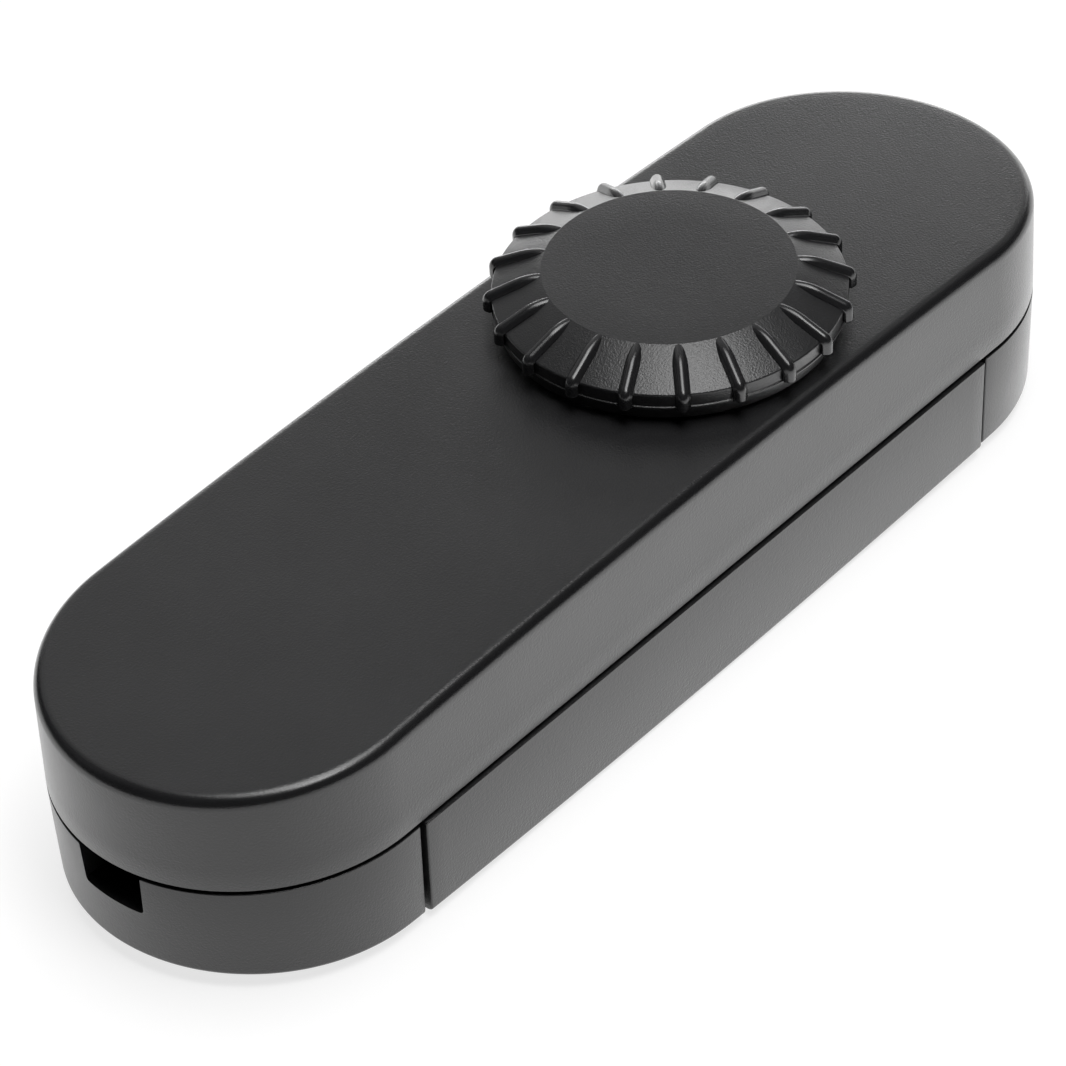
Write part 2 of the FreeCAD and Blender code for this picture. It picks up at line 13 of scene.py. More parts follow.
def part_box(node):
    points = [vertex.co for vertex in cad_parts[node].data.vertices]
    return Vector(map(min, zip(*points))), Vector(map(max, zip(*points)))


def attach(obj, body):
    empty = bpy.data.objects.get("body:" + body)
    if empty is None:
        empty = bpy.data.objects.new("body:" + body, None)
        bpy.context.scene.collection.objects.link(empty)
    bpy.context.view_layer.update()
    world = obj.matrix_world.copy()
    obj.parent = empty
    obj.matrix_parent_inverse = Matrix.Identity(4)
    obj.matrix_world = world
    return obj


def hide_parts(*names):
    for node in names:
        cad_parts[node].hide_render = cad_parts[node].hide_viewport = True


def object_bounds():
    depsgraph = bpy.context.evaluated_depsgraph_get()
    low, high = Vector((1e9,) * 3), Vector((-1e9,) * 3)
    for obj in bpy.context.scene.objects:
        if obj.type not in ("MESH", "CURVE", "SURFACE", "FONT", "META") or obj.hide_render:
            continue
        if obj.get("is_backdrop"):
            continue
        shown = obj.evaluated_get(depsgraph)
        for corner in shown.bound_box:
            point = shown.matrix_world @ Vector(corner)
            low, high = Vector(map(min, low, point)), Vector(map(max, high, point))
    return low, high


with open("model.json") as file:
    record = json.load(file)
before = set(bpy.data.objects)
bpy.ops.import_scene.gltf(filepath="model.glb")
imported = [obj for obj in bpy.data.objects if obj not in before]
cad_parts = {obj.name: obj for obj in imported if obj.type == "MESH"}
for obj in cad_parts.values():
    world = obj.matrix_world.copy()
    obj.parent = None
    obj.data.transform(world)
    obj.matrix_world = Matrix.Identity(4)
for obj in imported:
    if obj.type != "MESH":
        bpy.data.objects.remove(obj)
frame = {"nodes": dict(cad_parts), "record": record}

# Rotary cord dimmer: a black moulded housing with round ends, an arched roof and a ribbed knob.
# Sizes in this file are millimetres until a mesh is written, which is in metres.

LOG = logging.getLogger("cord_dimmer")
MM = 0.001
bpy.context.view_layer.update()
WHITE = (1.0, 1.0, 1.0, 1.0)

# Points nearer than this are merged, and slivers thinner than this removed, in metres.
MERGE_M = 1e-7
SLIVER_M = 1e-8

# Most that MouldedPlastic.add_lean gives, on a surface that leans by 45 degrees.
LEAN_MOST = 0.25

Piece = bpy.types.Object
Tree = bpy.types.NodeTree
Plan = tuple[float, float]
Point = tuple[float, float, float]
Ring = list[Point]


class Body(str, Enum):
    """The two bodies that pieces ride on."""

    HOUSING = "housing"
    ROTOR = "knob_rotor"


class Joinery(str, Enum):
    """How a tool shape changes a shell."""

    ADD = "UNION"
    CUT = "DIFFERENCE"


class End(int, Enum):
    """The housing's two ends, as the sign of their place along X."""

    NEAR = -1
    FAR = 1


def linear(hex_colour: str) -> tuple[float, float, float, float]:
    """Turn an sRGB hex colour into linear red, green, blue and alpha.

    Args:
        hex_colour: Six hex digits, with or without a leading hash.

    Returns:
        Linear colour with an alpha of one.
    """
    digits = hex_colour.lstrip("#")
    parts = [int(digits[i:i + 2], 16) / 255 for i in (0, 2, 4)]
    curved = [p / 12.92 if p <= 0.04045 else ((p + 0.055) / 1.055) ** 2.4 for p in parts]
    return (curved[0], curved[1], curved[2], 1.0)


def add_node(tree: Tree, kind: str, inputs: Optional[dict[Any, Any]] = None,
             **settings: Any) -> bpy.types.Node:
    """Add a node with its settings, and link or set its inputs.

    Args:
        tree: Tree that takes the node.
        kind: Node type, such as ShaderNodeBsdfPrincipled.
        inputs: For each input name or index, a value to set, an output socket to link, or a node
            whose first live output is linked.
        **settings: Attributes of the node itself.

    Returns:
        The new node.
    """
    node = tree.nodes.new(kind)
    for name, value in settings.items():
        setattr(node, name, value)
    for key, value in (inputs or {}).items():
        if isinstance(value, bpy.types.Node):
            value = next(socket for socket in value.outputs if socket.enabled)
        if isinstance(value, bpy.types.NodeSocket):
            tree.links.new(value, node.inputs[key])
        else:
            node.inputs[key].default_value = value
    return node


def blank_material(name: str) -> bpy.types.Material:
    """Make a material with an empty node tree.

    Args:
        name: Name of the material.

    Returns:
        The new material.
    """
    material = bpy.data.materials.new(name)
    material.use_nodes = True
    material.node_tree.nodes.clear()
    return material


def per_metre(size_mm: float) -> float:
    """Pattern scale that repeats about every given number of millimetres."""
    return 1.0 / (size_mm * MM)


@dataclass(frozen=True)
class MouldedPlastic:
    """Injection-moulded plastic: grain from the mould, soft gloss, slight colour drift."""

    name: str
    colour: str
    dark: str
    roughness: float
    roughness_spread: float
    grain_mm: float
    grain_height_mm: float
    edge_polish: float = 0.0
    edge_gloss: float = 0.0
    drift_mm: float = 9.0

    def build(self) -> bpy.types.Material:
        """Make the material.

        Returns:
            Material whose grain and gloss come from noise in object coordinates.
        """
        material = blank_material(self.name)
        tree = material.node_tree
        coordinates = add_node(tree, "ShaderNodeTexCoord")
        place = coordinates.outputs["Object"]
        drift = add_node(tree, "ShaderNodeTexNoise", {
            "Vector": place, "Scale": per_metre(self.drift_mm), "Detail": 3.0, "Roughness": 0.55})
        grain = add_node(tree, "ShaderNodeTexNoise", {
            "Vector": place, "Scale": per_metre(self.grain_mm), "Detail": 2.0, "Roughness": 0.6})
        colour = add_node(tree, "ShaderNodeMix", {
            "Factor": drift, "A": linear(self.dark), "B": linear(self.colour)}, data_type="RGBA")
        gloss = add_node(tree, "ShaderNodeMapRange", {
            "Value": drift, "From Min": 0.3, "From Max": 0.7,
            "To Min": self.roughness - self.roughness_spread,
            "To Max": self.roughness + self.roughness_spread})
        bump = add_node(tree, "ShaderNodeBump", {
            "Height": grain, "Strength": 1.0, "Distance": self.grain_height_mm * MM})
        if self.edge_polish:
            lean = self.add_lean(tree, coordinates.outputs["Normal"])
            relief = add_node(tree, "ShaderNodeMapRange", {
                "Value": lean, "From Max": LEAN_MOST, "To Min": 1.0,
                "To Max": 1.0 - self.edge_polish})
            tree.links.new(relief.outputs["Result"], bump.inputs["Strength"])
            gloss = add_node(tree, "ShaderNodeMath", {
                0: lean, 1: -self.edge_gloss / LEAN_MOST, 2: gloss}, operation="MULTIPLY_ADD")
        shader = add_node(tree, "ShaderNodeBsdfPrincipled", {
            "Base Color": colour, "Roughness": gloss, "Normal": bump, "IOR": 1.5})
        add_node(tree, "ShaderNodeOutputMaterial", {"Surface": shader})
        return material

    def add_lean(self, tree: Tree, normal: bpy.types.NodeSocket) -> bpy.types.Node:
        """Add nodes that find rounded edges by how far the surface leans.

        Args:
            tree: Tree that takes the nodes.
            normal: Socket with the surface's normal in object coordinates.

        Returns:
            Node that gives nought on level and upright faces, and LEAN_MOST at 45 degrees.
        """
        facing = add_node(tree, "ShaderNodeSeparateXYZ", {0: normal}).outputs["Z"]
        level = add_node(tree, "ShaderNodeMath", {0: facing, 1: facing}, operation="MULTIPLY")
        upright = add_node(tree, "ShaderNodeMath", {0: 1.0, 1: level}, operation="SUBTRACT")
        return add_node(tree, "ShaderNodeMath", {0: level, 1: upright}, operation="MULTIPLY")


@dataclass(frozen=True)
class WorkedMetal:
    """Plain or plated metal: drawn or turned, with fine streaks and uneven gloss."""

    name: str
    colour: str
    tarnish: str
    roughness: float
    streak_mm: Point
    roughness_spread: float = 0.1
    mark_depth_mm: float = 0.01

    def build(self) -> bpy.types.Material:
        """Make the material.

        Returns:
            Metallic material with stretched noise for tool marks.
        """
        material = blank_material(self.name)
        tree = material.node_tree
        place = add_node(tree, "ShaderNodeTexCoord").outputs["Object"]
        stretched = add_node(tree, "ShaderNodeMapping", {
            "Vector": place, "Scale": tuple(per_metre(s) for s in self.streak_mm)})
        marks = add_node(tree, "ShaderNodeTexNoise", {
            "Vector": stretched, "Scale": 1.0, "Detail": 4.0})
        colour = add_node(tree, "ShaderNodeMix", {
            "Factor": marks, "A": linear(self.tarnish), "B": linear(self.colour)},
            data_type="RGBA")
        gloss = add_node(tree, "ShaderNodeMapRange", {
            "Value": marks, "To Min": self.roughness - self.roughness_spread,
            "To Max": self.roughness + self.roughness_spread})
        bump = add_node(tree, "ShaderNodeBump", {
            "Height": marks, "Strength": 0.4, "Distance": self.mark_depth_mm * MM})
        shader = add_node(tree, "ShaderNodeBsdfPrincipled", {
            "Base Color": colour, "Roughness": gloss, "Normal": bump, "Metallic": 1.0})
        add_node(tree, "ShaderNodeOutputMaterial", {"Surface": shader})
        return material


@dataclass(frozen=True)
class Finishes:
    """Every finish of the dimmer, named by the record's material slot, and the smooth ribs."""

    # Black ABS out of a spark-eroded mould: dark, low gloss, with a fine grain that scatters
    # highlights. The grain is drawn coarser than the real one, so that it shows. It runs out on
    # rounded edges, where a lamp draws a clean bright line.
    housing_plastic: MouldedPlastic = MouldedPlastic(
        "abs_black_spark_eroded", "#1f1f20", "#1b1b1c", 0.31, 0.02, 0.2, 0.035,
        edge_polish=1.0, edge_gloss=0.07)
    # The knob's ABS has the same grain, drawn a little finer, which sparkles on its chamfer.
    knob_plastic: MouldedPlastic = MouldedPlastic(
        "abs_black_knob_grain", "#1f1f20", "#1b1b1c", 0.3, 0.02, 0.17, 0.035)
    # The ribs come out of polished grooves in the mould, so they are smoother and glossier.
    knob_ribs: MouldedPlastic = MouldedPlastic(
        "abs_black_polished_ribs", "#222223", "#1f1f20", 0.24, 0.02, 0.5, 0.003)
    # Black PBT of the potentiometer: plain moulded.
    shaft_plastic: MouldedPlastic = MouldedPlastic(
        "pbt_black_plain", "#303031", "#29292a", 0.5, 0.04, 0.5, 0.006)
    # Off-white polyamide of the terminal blocks: slightly waxy.
    terminal_plastic: MouldedPlastic = MouldedPlastic(
        "polyamide_off_white", "#d9d6cc", "#cdc9bd", 0.42, 0.05, 0.8, 0.005)
    # Yellow epoxy-filled case: gloss moulded.
    capacitor_case: MouldedPlastic = MouldedPlastic(
        "capacitor_case_yellow", "#cf9a22", "#c08c1b", 0.28, 0.04, 1.5, 0.004)
    # Brown paper laminate: pressed, with a faint fibre fleck.
    laminate: MouldedPlastic = MouldedPlastic(
        "paper_laminate_brown", "#b98f4c", "#a47c3f", 0.5, 0.06, 0.6, 0.008)
    # Sintered ferrite: dark grey, dull, finely granular.
    ferrite: MouldedPlastic = MouldedPlastic(
        "sintered_ferrite", "#46464a", "#3a3a3e", 0.7, 0.05, 0.25, 0.02)
    # Zinc-plated steel: bright, with turned marks.
    screw_steel: WorkedMetal = WorkedMetal(
        "zinc_plated_steel", "#c9cacc", "#a9abae", 0.32, (2.0, 2.0, 0.15))
    # Rolled brass of contacts and cages: warm yellow, streaked along the strip.
    contact_brass: WorkedMetal = WorkedMetal(
        "rolled_brass", "#d7b56a", "#b48f45", 0.3, (1.5, 0.2, 0.2))
    # Lacquered copper wire, wound in close turns that show as fine level streaks.
    copper_wire: WorkedMetal = WorkedMetal(
        "lacquered_copper_wire", "#b96a3a", "#8f4a22", 0.3, (4.0, 4.0, 0.25))
    # Drawn aluminium of the can and the heat sink: pale, with upright draw marks.
    aluminium: WorkedMetal = WorkedMetal(
        "drawn_aluminium", "#d2d4d7", "#b3b5b9", 0.36, (0.3, 0.3, 3.0))

    def by_slot(self) -> dict[str, bpy.types.Material]:
        """Build each finish once, under its slot's name."""
        return {field.name: getattr(self, field.name).build() for field in fields(self)}


class Workshop:
    """Makes meshes from rings and lathes, joins and cuts them, and hands pieces to the frame."""

    def __init__(self, materials: dict[str, bpy.types.Material]) -> None:
        """Keep the materials that pieces are dressed with."""
        self.materials = materials

    def rings(self, name: str, rings: Sequence[Ring], closed: bool = True,
              cap_ends: bool = False) -> Piece:
        """Skin a row of rings with the same number of points.

        Args:
            name: Name of the object.
            rings: Rings of points in millimetres, from one end of the skin to the other.
            closed: Whether each ring's last point joins its first.
            cap_ends: Whether the first and last rings are filled.

        Returns:
            Object with the merged mesh, faces outwards.
        """
        mesh = bmesh.new()
        rows = [[mesh.verts.new(Vector(p) * MM) for p in ring] for ring in rings]
        count = len(rows[0])
        for low, high in zip(rows, rows[1:]):
            for i in range(count if closed else count - 1):
                j = (i + 1) % count
                mesh.faces.new((low[i], low[j], high[j], high[i]))
        if cap_ends:
            mesh.faces.new(rows[0])
            mesh.faces.new(rows[-1])
        bmesh.ops.remove_doubles(mesh, verts=mesh.verts, dist=MERGE_M)
        bmesh.ops.dissolve_degenerate(mesh, edges=mesh.edges, dist=SLIVER_M)
        bmesh.ops.recalc_face_normals(mesh, faces=mesh.faces)
        return self.place(name, mesh)

    def place(self, name: str, mesh: bmesh.types.BMesh) -> Piece:
        """Put a bmesh into a new object at the origin.

        Args:
            name: Name of the object and its mesh.
            mesh: Mesh that is used up.

        Returns:
            The new object.
        """
        data = bpy.data.meshes.new(name)
        mesh.to_mesh(data)
        mesh.free()
        piece = bpy.data.objects.new(name, data)
        bpy.context.scene.collection.objects.link(piece)
        return piece

    def lathe(self, name: str, profile: Sequence[Plan], centre: Plan, segments: int) -> Piece:
        """Turn a closed (radius, height) profile about an upright axis.

        Args:
            name: Name of the object.
            profile: Points round the section, which starts and ends on the axis.
            centre: Axis in plan.
            segments: Steps round the turn.

        Returns:
            Object with the turned mesh.
        """
        turn = [2 * math.pi * i / segments for i in range(segments)]
        rings = [[(centre[0] + r * math.cos(a), centre[1] + r * math.sin(a), z) for a in turn]
                 for r, z in profile]
        return self.rings(name, rings)

    def rod(self, name: str, radius: float, z: Plan, centre: Plan, segments: int) -> Piece:
        """Upright rod between two heights, used as a tool."""
        profile = [(0, z[0]), (radius, z[0]), (radius, z[1]), (0, z[1])]
        return self.lathe(name, profile, centre, segments)

    def block(self, centre: Plan, half: Plan, z: Plan) -> Piece:
        """Plain block between two heights, used as a tool or a rib.

        Args:
            centre: Middle of the block in plan.
            half: Half its size along X and Y.
            z: Lowest and highest level.

        Returns:
            Object with the block's mesh.
        """
        x = (centre[0] - half[0], centre[0] + half[0])
        y = (centre[1] - half[1], centre[1] + half[1])
        corners = [(x[0], y[0]), (x[1], y[0]), (x[1], y[1]), (x[0], y[1])]
        return self.rings("block", [[(cx, cy, h) for cx, cy in corners] for h in z], cap_ends=True)

    def work(self, piece: Piece, how: Joinery, tools: Iterable[Piece]) -> None:
        """Join tools to a closed piece or cut them out of it, and remove the tools.

        Args:
            piece: Closed piece to change.
            how: Whether tools are added or cut away.
            tools: Closed tool shapes.
        """
        for tool in tools:
            change = piece.modifiers.new("work", "BOOLEAN")
            change.operation = how.value
            change.solver = "MANIFOLD"
            change.object = tool
            evaluated = piece.evaluated_get(bpy.context.evaluated_depsgraph_get())
            data = bpy.data.meshes.new_from_object(evaluated)
            if len(data.vertices) == len(piece.data.vertices):
                LOG.warning("%s wasn't changed by %s", piece.name, tool.name)
            piece.modifiers.remove(change)
            piece.data = data
            bpy.data.objects.remove(tool)

    def soften(self, piece: Piece, sharp_degrees: float = 32.0) -> None:
        """Shade a piece smooth, with edges above an angle kept sharp.

        Args:
            piece: Piece to shade.
            sharp_degrees: Least angle between two faces at which their edge stays sharp.
        """
        mesh = bmesh.new()
        mesh.from_mesh(piece.data)
        limit = math.radians(sharp_degrees)
        for face in mesh.faces:
            face.smooth = True
        for edge in mesh.edges:
            edge.smooth = len(edge.link_faces) == 2 and edge.calc_face_angle(0.0) < limit
        mesh.to_mesh(piece.data)
        mesh.free()

    def finish(self, piece: Piece, slot: str, body: Body, replaced: Sequence[str] = (),
               finish: Optional[str] = None) -> Piece:
        """Dress a piece and hand it to the frame.

        Args:
            piece: Finished piece at the origin.
            slot: Record slot that the piece takes its finish from.
            body: Body that it rides on.
            replaced: CAD nodes that it stands for.
            finish: Key of the material, where it isn't the slot's own.

        Returns:
            The same piece.
        """
        piece.data.materials.clear()
        piece.data.materials.append(self.materials[finish or slot])
        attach(piece, body.value)
        if replaced:
            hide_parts(*replaced)
        LOG.info("%s rides on %s, %d faces", piece.name, body.value, len(piece.data.polygons))
        return piece


def in_mm(node: str) -> tuple[Vector, Vector]:
    """Lowest and highest corner of a CAD node, in millimetres."""
    low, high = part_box(node)
    return Vector(low) / MM, Vector(high) / MM


def arc_steps(count: int) -> list[float]:
    """Angles from nought to a quarter turn in equal steps."""
    return [math.pi / 2 * i / count for i in range(count + 1)]


@dataclass
class Housing:
    """The moulded shells: top cover, base and two end covers, all parts of one stadium form."""

    shop: Workshop
    roof_arch: float = 1.8
    roof_crown: float = 0.15
    floor_arch: float = 1.6
    upper_draft: float = 0.18
    lower_draft: float = 0.27
    inner_draft_share: float = 0.8
    shadow_gap: float = 0.42
    parting_drop: float = 0.05
    roof_edge_radius: float = 1.15
    floor_edge_radius: float = 0.55
    crisp_edge: float = 0.06
    wall: float = 2.0
    ceiling_inset: float = 0.4
    tongue: float = 0.9
    tongue_height: float = 1.8
    fit: float = 0.15
    hair: float = 0.01
    seam_x: float = 38.9
    seam_gap: float = 0.5
    seam_tongue: float = 1.5
    panel_proud: float = 0.25
    panel_edge: float = 0.16
    slot_width: float = 7.0
    slot_depth: float = 4.13
    slot_corner: float = 0.45
    slot_taper: float = 0.16
    slot_over: float = 5.0
    slot_past: float = 2.0
    knob_hole: float = 4.1
    knob_hole_span: Plan = (15, 30)
    screw_angle: float = 72.0
    boss_radius: float = 2.7
    boss_gap: float = 0.4
    pocket_radius: float = 2.75
    pocket_depth: float = 3.0
    pocket_wall: float = 1.0
    pocket_roof: float = 2.0
    bore_span: Plan = (-5, 20)
    shank_hole: float = 1.6
    pilot_hole: float = 1.32
    pilot_depth: float = 6.8
    clamp_x: float = 50.4
    saddle_half: Plan = (1.0, 6.5)
    ridge_half: Plan = (0.8, 5.5)
    ridge_rise: float = 1.0
    board_post_half: Plan = (1.5, 1.5)
    board_post_inset: Plan = (8.0, 3.0)
    board_rib_half: Plan = (0.75, 6.0)
    board_rib_inset: float = 2.4
    foot_inset: float = 5.0
    foot_y: float = 12.0
    foot_profile: tuple[Plan, ...] = ((0, 0), (2.2, 0), (2.42, 0.08), (2.5, 0.3), (2.5, 1.5),
                                      (0, 1.5))
    # How far a rib, post or bore runs into the wall that it starts from.
    root: float = 1.0
    # Rows of points across the floors, and the height up to which an end follows the floor's arch.
    floor_step: float = 5.0
    floor_rim: Plan = (3.0, 3.2)
    floor_zone: float = 5.0
    # Shares of the way up the wall and in to the middle at which the cover has rows of points.
    wall_rows: Point = (0.25, 0.5, 0.75)
    roof_rows: tuple[float, ...] = (0.06, 0.15, 0.3, 0.5, 0.7, 0.85, 1.0)
    ceiling_rows: Point = (0.3, 0.65, 1.0)
    # Points along roundings, ends and lengths, and round bores and posts.
    crisp_steps: int = 3
    roof_edge_steps: int = 12
    floor_edge_steps: int = 6
    panel_edge_steps: int = 4
    slot_corner_steps: int = 8
    straight_steps: int = 48
    round_steps: int = 72
    end_steps: int = 96
    base_half_steps: int = 20
    lip_half_steps: int = 12
    hole_sides: int = 64
    pilot_sides: int = 32
    boss_sides: int = 40
    round_sides: int = 48

    def __post_init__(self) -> None:
        """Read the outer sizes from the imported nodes."""
        low, high = in_mm("top_cover")
        self.half_length = high.x
        self.radius = high.y
        self.parting = low.z - self.parting_drop
        self.top = high.z + self.roof_crown
        self.straight = self.half_length - self.radius
        self.lower_top = self.parting - self.shadow_gap
        self.slot_floor = self.lower_top - self.slot_depth
        knob_low, knob_high = in_mm("knob")
        self.knob_x = (knob_low.x + knob_high.x) / 2

    def roof(self, x: float) -> float:
        """Height of the arched roof at a place along the length."""
        return self.top - self.roof_arch * (x / self.half_length) ** 2

    def ceiling(self, x: float) -> float:
        """Height of the roof's inner side at a place along the length."""
        return self.roof(x) - self.wall

    def floor(self, x: float) -> float:
        """Height of the arched floor at a place along the length."""
        return self.floor_arch * (x / self.half_length) ** 2

    def screw_places(self, end: End) -> list[Plan]:
        """Places of an end cover's two screws.

        Args:
            end: End that the cover is at.

        Returns:
            Both places in plan.
        """
        reach = self.radius - self.upper_draft - self.wall - self.boss_gap - self.boss_radius
        angle = math.radians(self.screw_angle)
        x = self.straight + reach * math.cos(angle)
        return [(end.value * x, side * reach * math.sin(angle)) for side in (-1, 1)]

    def seat(self, x: float) -> float:
        """Height of the shoulder that a screw's head bears on."""
        return self.floor(x) + self.pocket_depth

    def outline(self) -> list[Point]:
        """Walk round the stadium outline.

        Returns:
            Marks as (x of the centre line, direction cosine, direction sine).
        """
        marks: list[Point] = []
        for end in (1, -1):
            for i in range(self.round_steps + 1):
                angle = math.pi * (i / self.round_steps - 0.5) + (0 if end == 1 else math.pi)
                marks.append((end * self.straight, math.cos(angle), math.sin(angle)))
            for i in range(1, self.straight_steps):
                x = end * self.straight * (1 - 2 * i / self.straight_steps)
                marks.append((x, 0.0, float(end)))
        return marks

    def ring(self, inset: Callable[[float], float], height: Callable[[float], float]) -> Ring:
        """Make a stadium ring whose inset and height may change along the length.

        Args:
            inset: Distance inside the outline at a place along the length.
            height: Level at a place along the length.

        Returns:
            Points round the ring.
        """
        points: Ring = []
        for x, cos, sin in self.outline():
            reach = max(self.radius - inset(x + self.radius * cos), 0.0)
            px = x + reach * cos
            points.append((px, reach * sin, height(px)))
        return points

    def upper_inset(self, z: float) -> float:
        """Draft of the top cover's wall at a height."""
        return self.upper_draft * (z - self.parting) / (self.top - self.parting)

    def cover_outside(self) -> list[Ring]:
        """Rings of the top cover's outside: crisp foot, drafted wall, rounded edge, arched roof.

        Returns:
            Rings from the parting to the roof's middle.
        """
        crisp, edge = self.crisp_edge, self.roof_edge_radius
        rows: list[Ring] = []
        for angle in arc_steps(self.crisp_steps):
            rows.append(self.ring(lambda x, a=angle: crisp * (1 - math.sin(a)),
                                  lambda x, a=angle: self.parting + crisp * (1 - math.cos(a))))
        for share in self.wall_rows:
            def wall_height(x: float, s: float = share) -> float:
                """Level of one row of points up the wall."""
                return self.parting + crisp + s * (self.roof(x) - edge - self.parting - crisp)
            rows.append(self.ring(lambda x, h=wall_height: self.upper_inset(h(x)), wall_height))
        for angle in arc_steps(self.roof_edge_steps):
            rows.append(self.ring(
                lambda x, a=angle: (self.upper_inset(self.roof(x) - edge)
                                    + edge * (1 - math.cos(a))),
                lambda x, a=angle: self.roof(x) - edge + edge * math.sin(a)))
        flat = self.upper_draft + edge
        for share in self.roof_rows:
            rows.append(self.ring(lambda x, s=share: flat + s * (self.radius - flat), self.roof))
        return rows

    def cover_inside(self) -> list[Ring]:
        """Rings of the top cover's inside: rebate, drafted wall and arched ceiling.

        Returns:
            Rings from the parting to the ceiling's middle.
        """
        rebate = self.wall - self.tongue - self.fit
        rebate_top = self.parting + self.tongue_height + self.fit
        flat = self.wall + self.ceiling_inset
        rows = [self.ring(lambda x: rebate, lambda x: self.parting),
                self.ring(lambda x: rebate, lambda x: rebate_top),
                self.ring(lambda x: self.wall + self.upper_inset(rebate_top), lambda x: rebate_top),
                self.ring(lambda x: self.wall + self.upper_inset(self.ceiling(x)), self.ceiling)]
        for share in self.ceiling_rows:
            rows.append(self.ring(
                lambda x, s=share: flat + s * (self.radius - self.wall - self.ceiling_inset),
                self.ceiling))
        return rows

    def build_top_cover(self) -> Piece:
        """Skin the top cover, add its bosses, saddles and posts, and bore it.

        Returns:
            The finished piece.
        """
        rows = self.cover_inside()[::-1] + self.cover_outside()
        piece = self.shop.rings("top_cover_shell", rows)
        self.shop.work(piece, Joinery.ADD, self.cover_bosses())
        bores = [self.shop.rod("hole", self.knob_hole, self.knob_hole_span, (self.knob_x, 0),
                               self.hole_sides)]
        pilot = (self.parting - self.root, self.parting + self.pilot_depth)
        for place in self.screw_places(End.FAR) + self.screw_places(End.NEAR):
            bores.append(self.shop.rod("pilot", self.pilot_hole, pilot, place, self.pilot_sides))
        self.shop.work(piece, Joinery.CUT, bores)
        self.shop.soften(piece)
        return self.shop.finish(piece, "housing_plastic", Body.HOUSING, ["top_cover"])

    def cover_bosses(self) -> list[Piece]:
        """Screw bosses, cord saddles and board posts inside the top cover.

        Returns:
            Closed tools that run up into the roof's wall.
        """
        tools: list[Piece] = []
        buried = self.wall / 2
        board_high = in_mm("circuit_board")[1]
        for end in (End.FAR, End.NEAR):
            for x, y in self.screw_places(end):
                z = (self.parting, self.roof(x) - buried)
                tools.append(self.shop.rod("boss", self.boss_radius, z, (x, y), self.boss_sides))
            x = end.value * self.clamp_x
            z = (self.parting, self.roof(x) - buried)
            tools.append(self.shop.block((x, 0.0), self.saddle_half, z))
            x = end.value * (self.seam_x - self.board_post_inset[0])
            z = (board_high.z, self.roof(x) - buried)
            for side in (-1, 1):
                y = side * (board_high.y - self.board_post_inset[1])
                tools.append(self.shop.block((x, y), self.board_post_half, z))
        return tools

    def lower_reach(self, z: float) -> float:
        """Half-width of the lower half's outer wall at a height."""
        return self.radius - self.lower_draft * (self.lower_top - z) / self.lower_top

    def panel_section(self, x: float, shrink: float) -> Ring:
        """Section across the base, a U with tongues.

        Args:
            x: Place along the length.
            shrink: How far the outside is drawn in, at the panel's ends.

        Returns:
            Points round the section.
        """
        floor = self.floor(x) + shrink
        top = self.lower_top - shrink
        crisp, low_edge = self.crisp_edge, self.floor_edge_radius
        inner = self.radius - self.wall
        tip = self.parting + self.tongue_height
        half: list[Plan] = [(inner, tip), (inner + self.tongue, tip), (inner + self.tongue, top)]
        proud = self.panel_proud - shrink
        for angle in arc_steps(self.crisp_steps):
            z = top - crisp * (1 - math.sin(math.pi / 2 - angle))
            half.append((self.lower_reach(z) + proud - crisp * (1 - math.sin(angle)), z))
        for angle in arc_steps(self.floor_edge_steps):
            z = floor + low_edge * (1 - math.sin(angle))
            half.append((self.lower_reach(z) + proud - low_edge * (1 - math.cos(angle)), z))
        right = [(x, y, z) for y, z in half]
        left = [(x, -y, z) for y, z in reversed(half)]
        inside_floor = self.floor(x) + self.wall
        step = self.floor_step
        under = [(x, y, floor) for y in (2 * step, step, 0.0, -step, -2 * step)]
        inside = [(x, y, inside_floor) for y in (-inner, -step, step, inner)]
        return right + under + left + inside

    def build_base(self) -> Piece:
        """Loft the base along its length, with rounded panel ends, end tongues, ribs and feet.

        Returns:
            The finished piece.
        """
        end = self.seam_x - self.seam_gap / 2
        edge = self.panel_edge
        turn = arc_steps(self.panel_edge_steps)
        half = self.base_half_steps
        middle = [end * (i / half - 1) for i in range(1, 2 * half)]
        stations = [(-end + edge * (1 - math.cos(a)), edge * (1 - math.sin(a))) for a in turn]
        stations += [(x, 0.0) for x in middle if abs(x) < end - edge - self.hair]
        stations += [(end - edge * (1 - math.cos(a)), edge * (1 - math.sin(a)))
                     for a in reversed(turn)]
        sections = [self.panel_section(x, shrink) for x, shrink in stations]
        piece = self.shop.rings("base_shell", sections, cap_ends=True)
        tools = [self.seam_lip()]
        board_low = in_mm("circuit_board")[0]
        for side in (-1, 1):
            x = side * (self.seam_x - self.board_rib_inset)
            z = (self.floor(x) + self.root, board_low.z)
            tools.append(self.shop.block((x, 0.0), self.board_rib_half, z))
            x = side * (self.seam_x - self.foot_inset)
            for y in (-self.foot_y, self.foot_y):
                tools.append(self.shop.lathe("foot", self.foot_profile, (x, y), self.round_sides))
        self.shop.work(piece, Joinery.ADD, tools)
        self.shop.soften(piece)
        return self.shop.finish(piece, "housing_plastic", Body.HOUSING, ["base"])

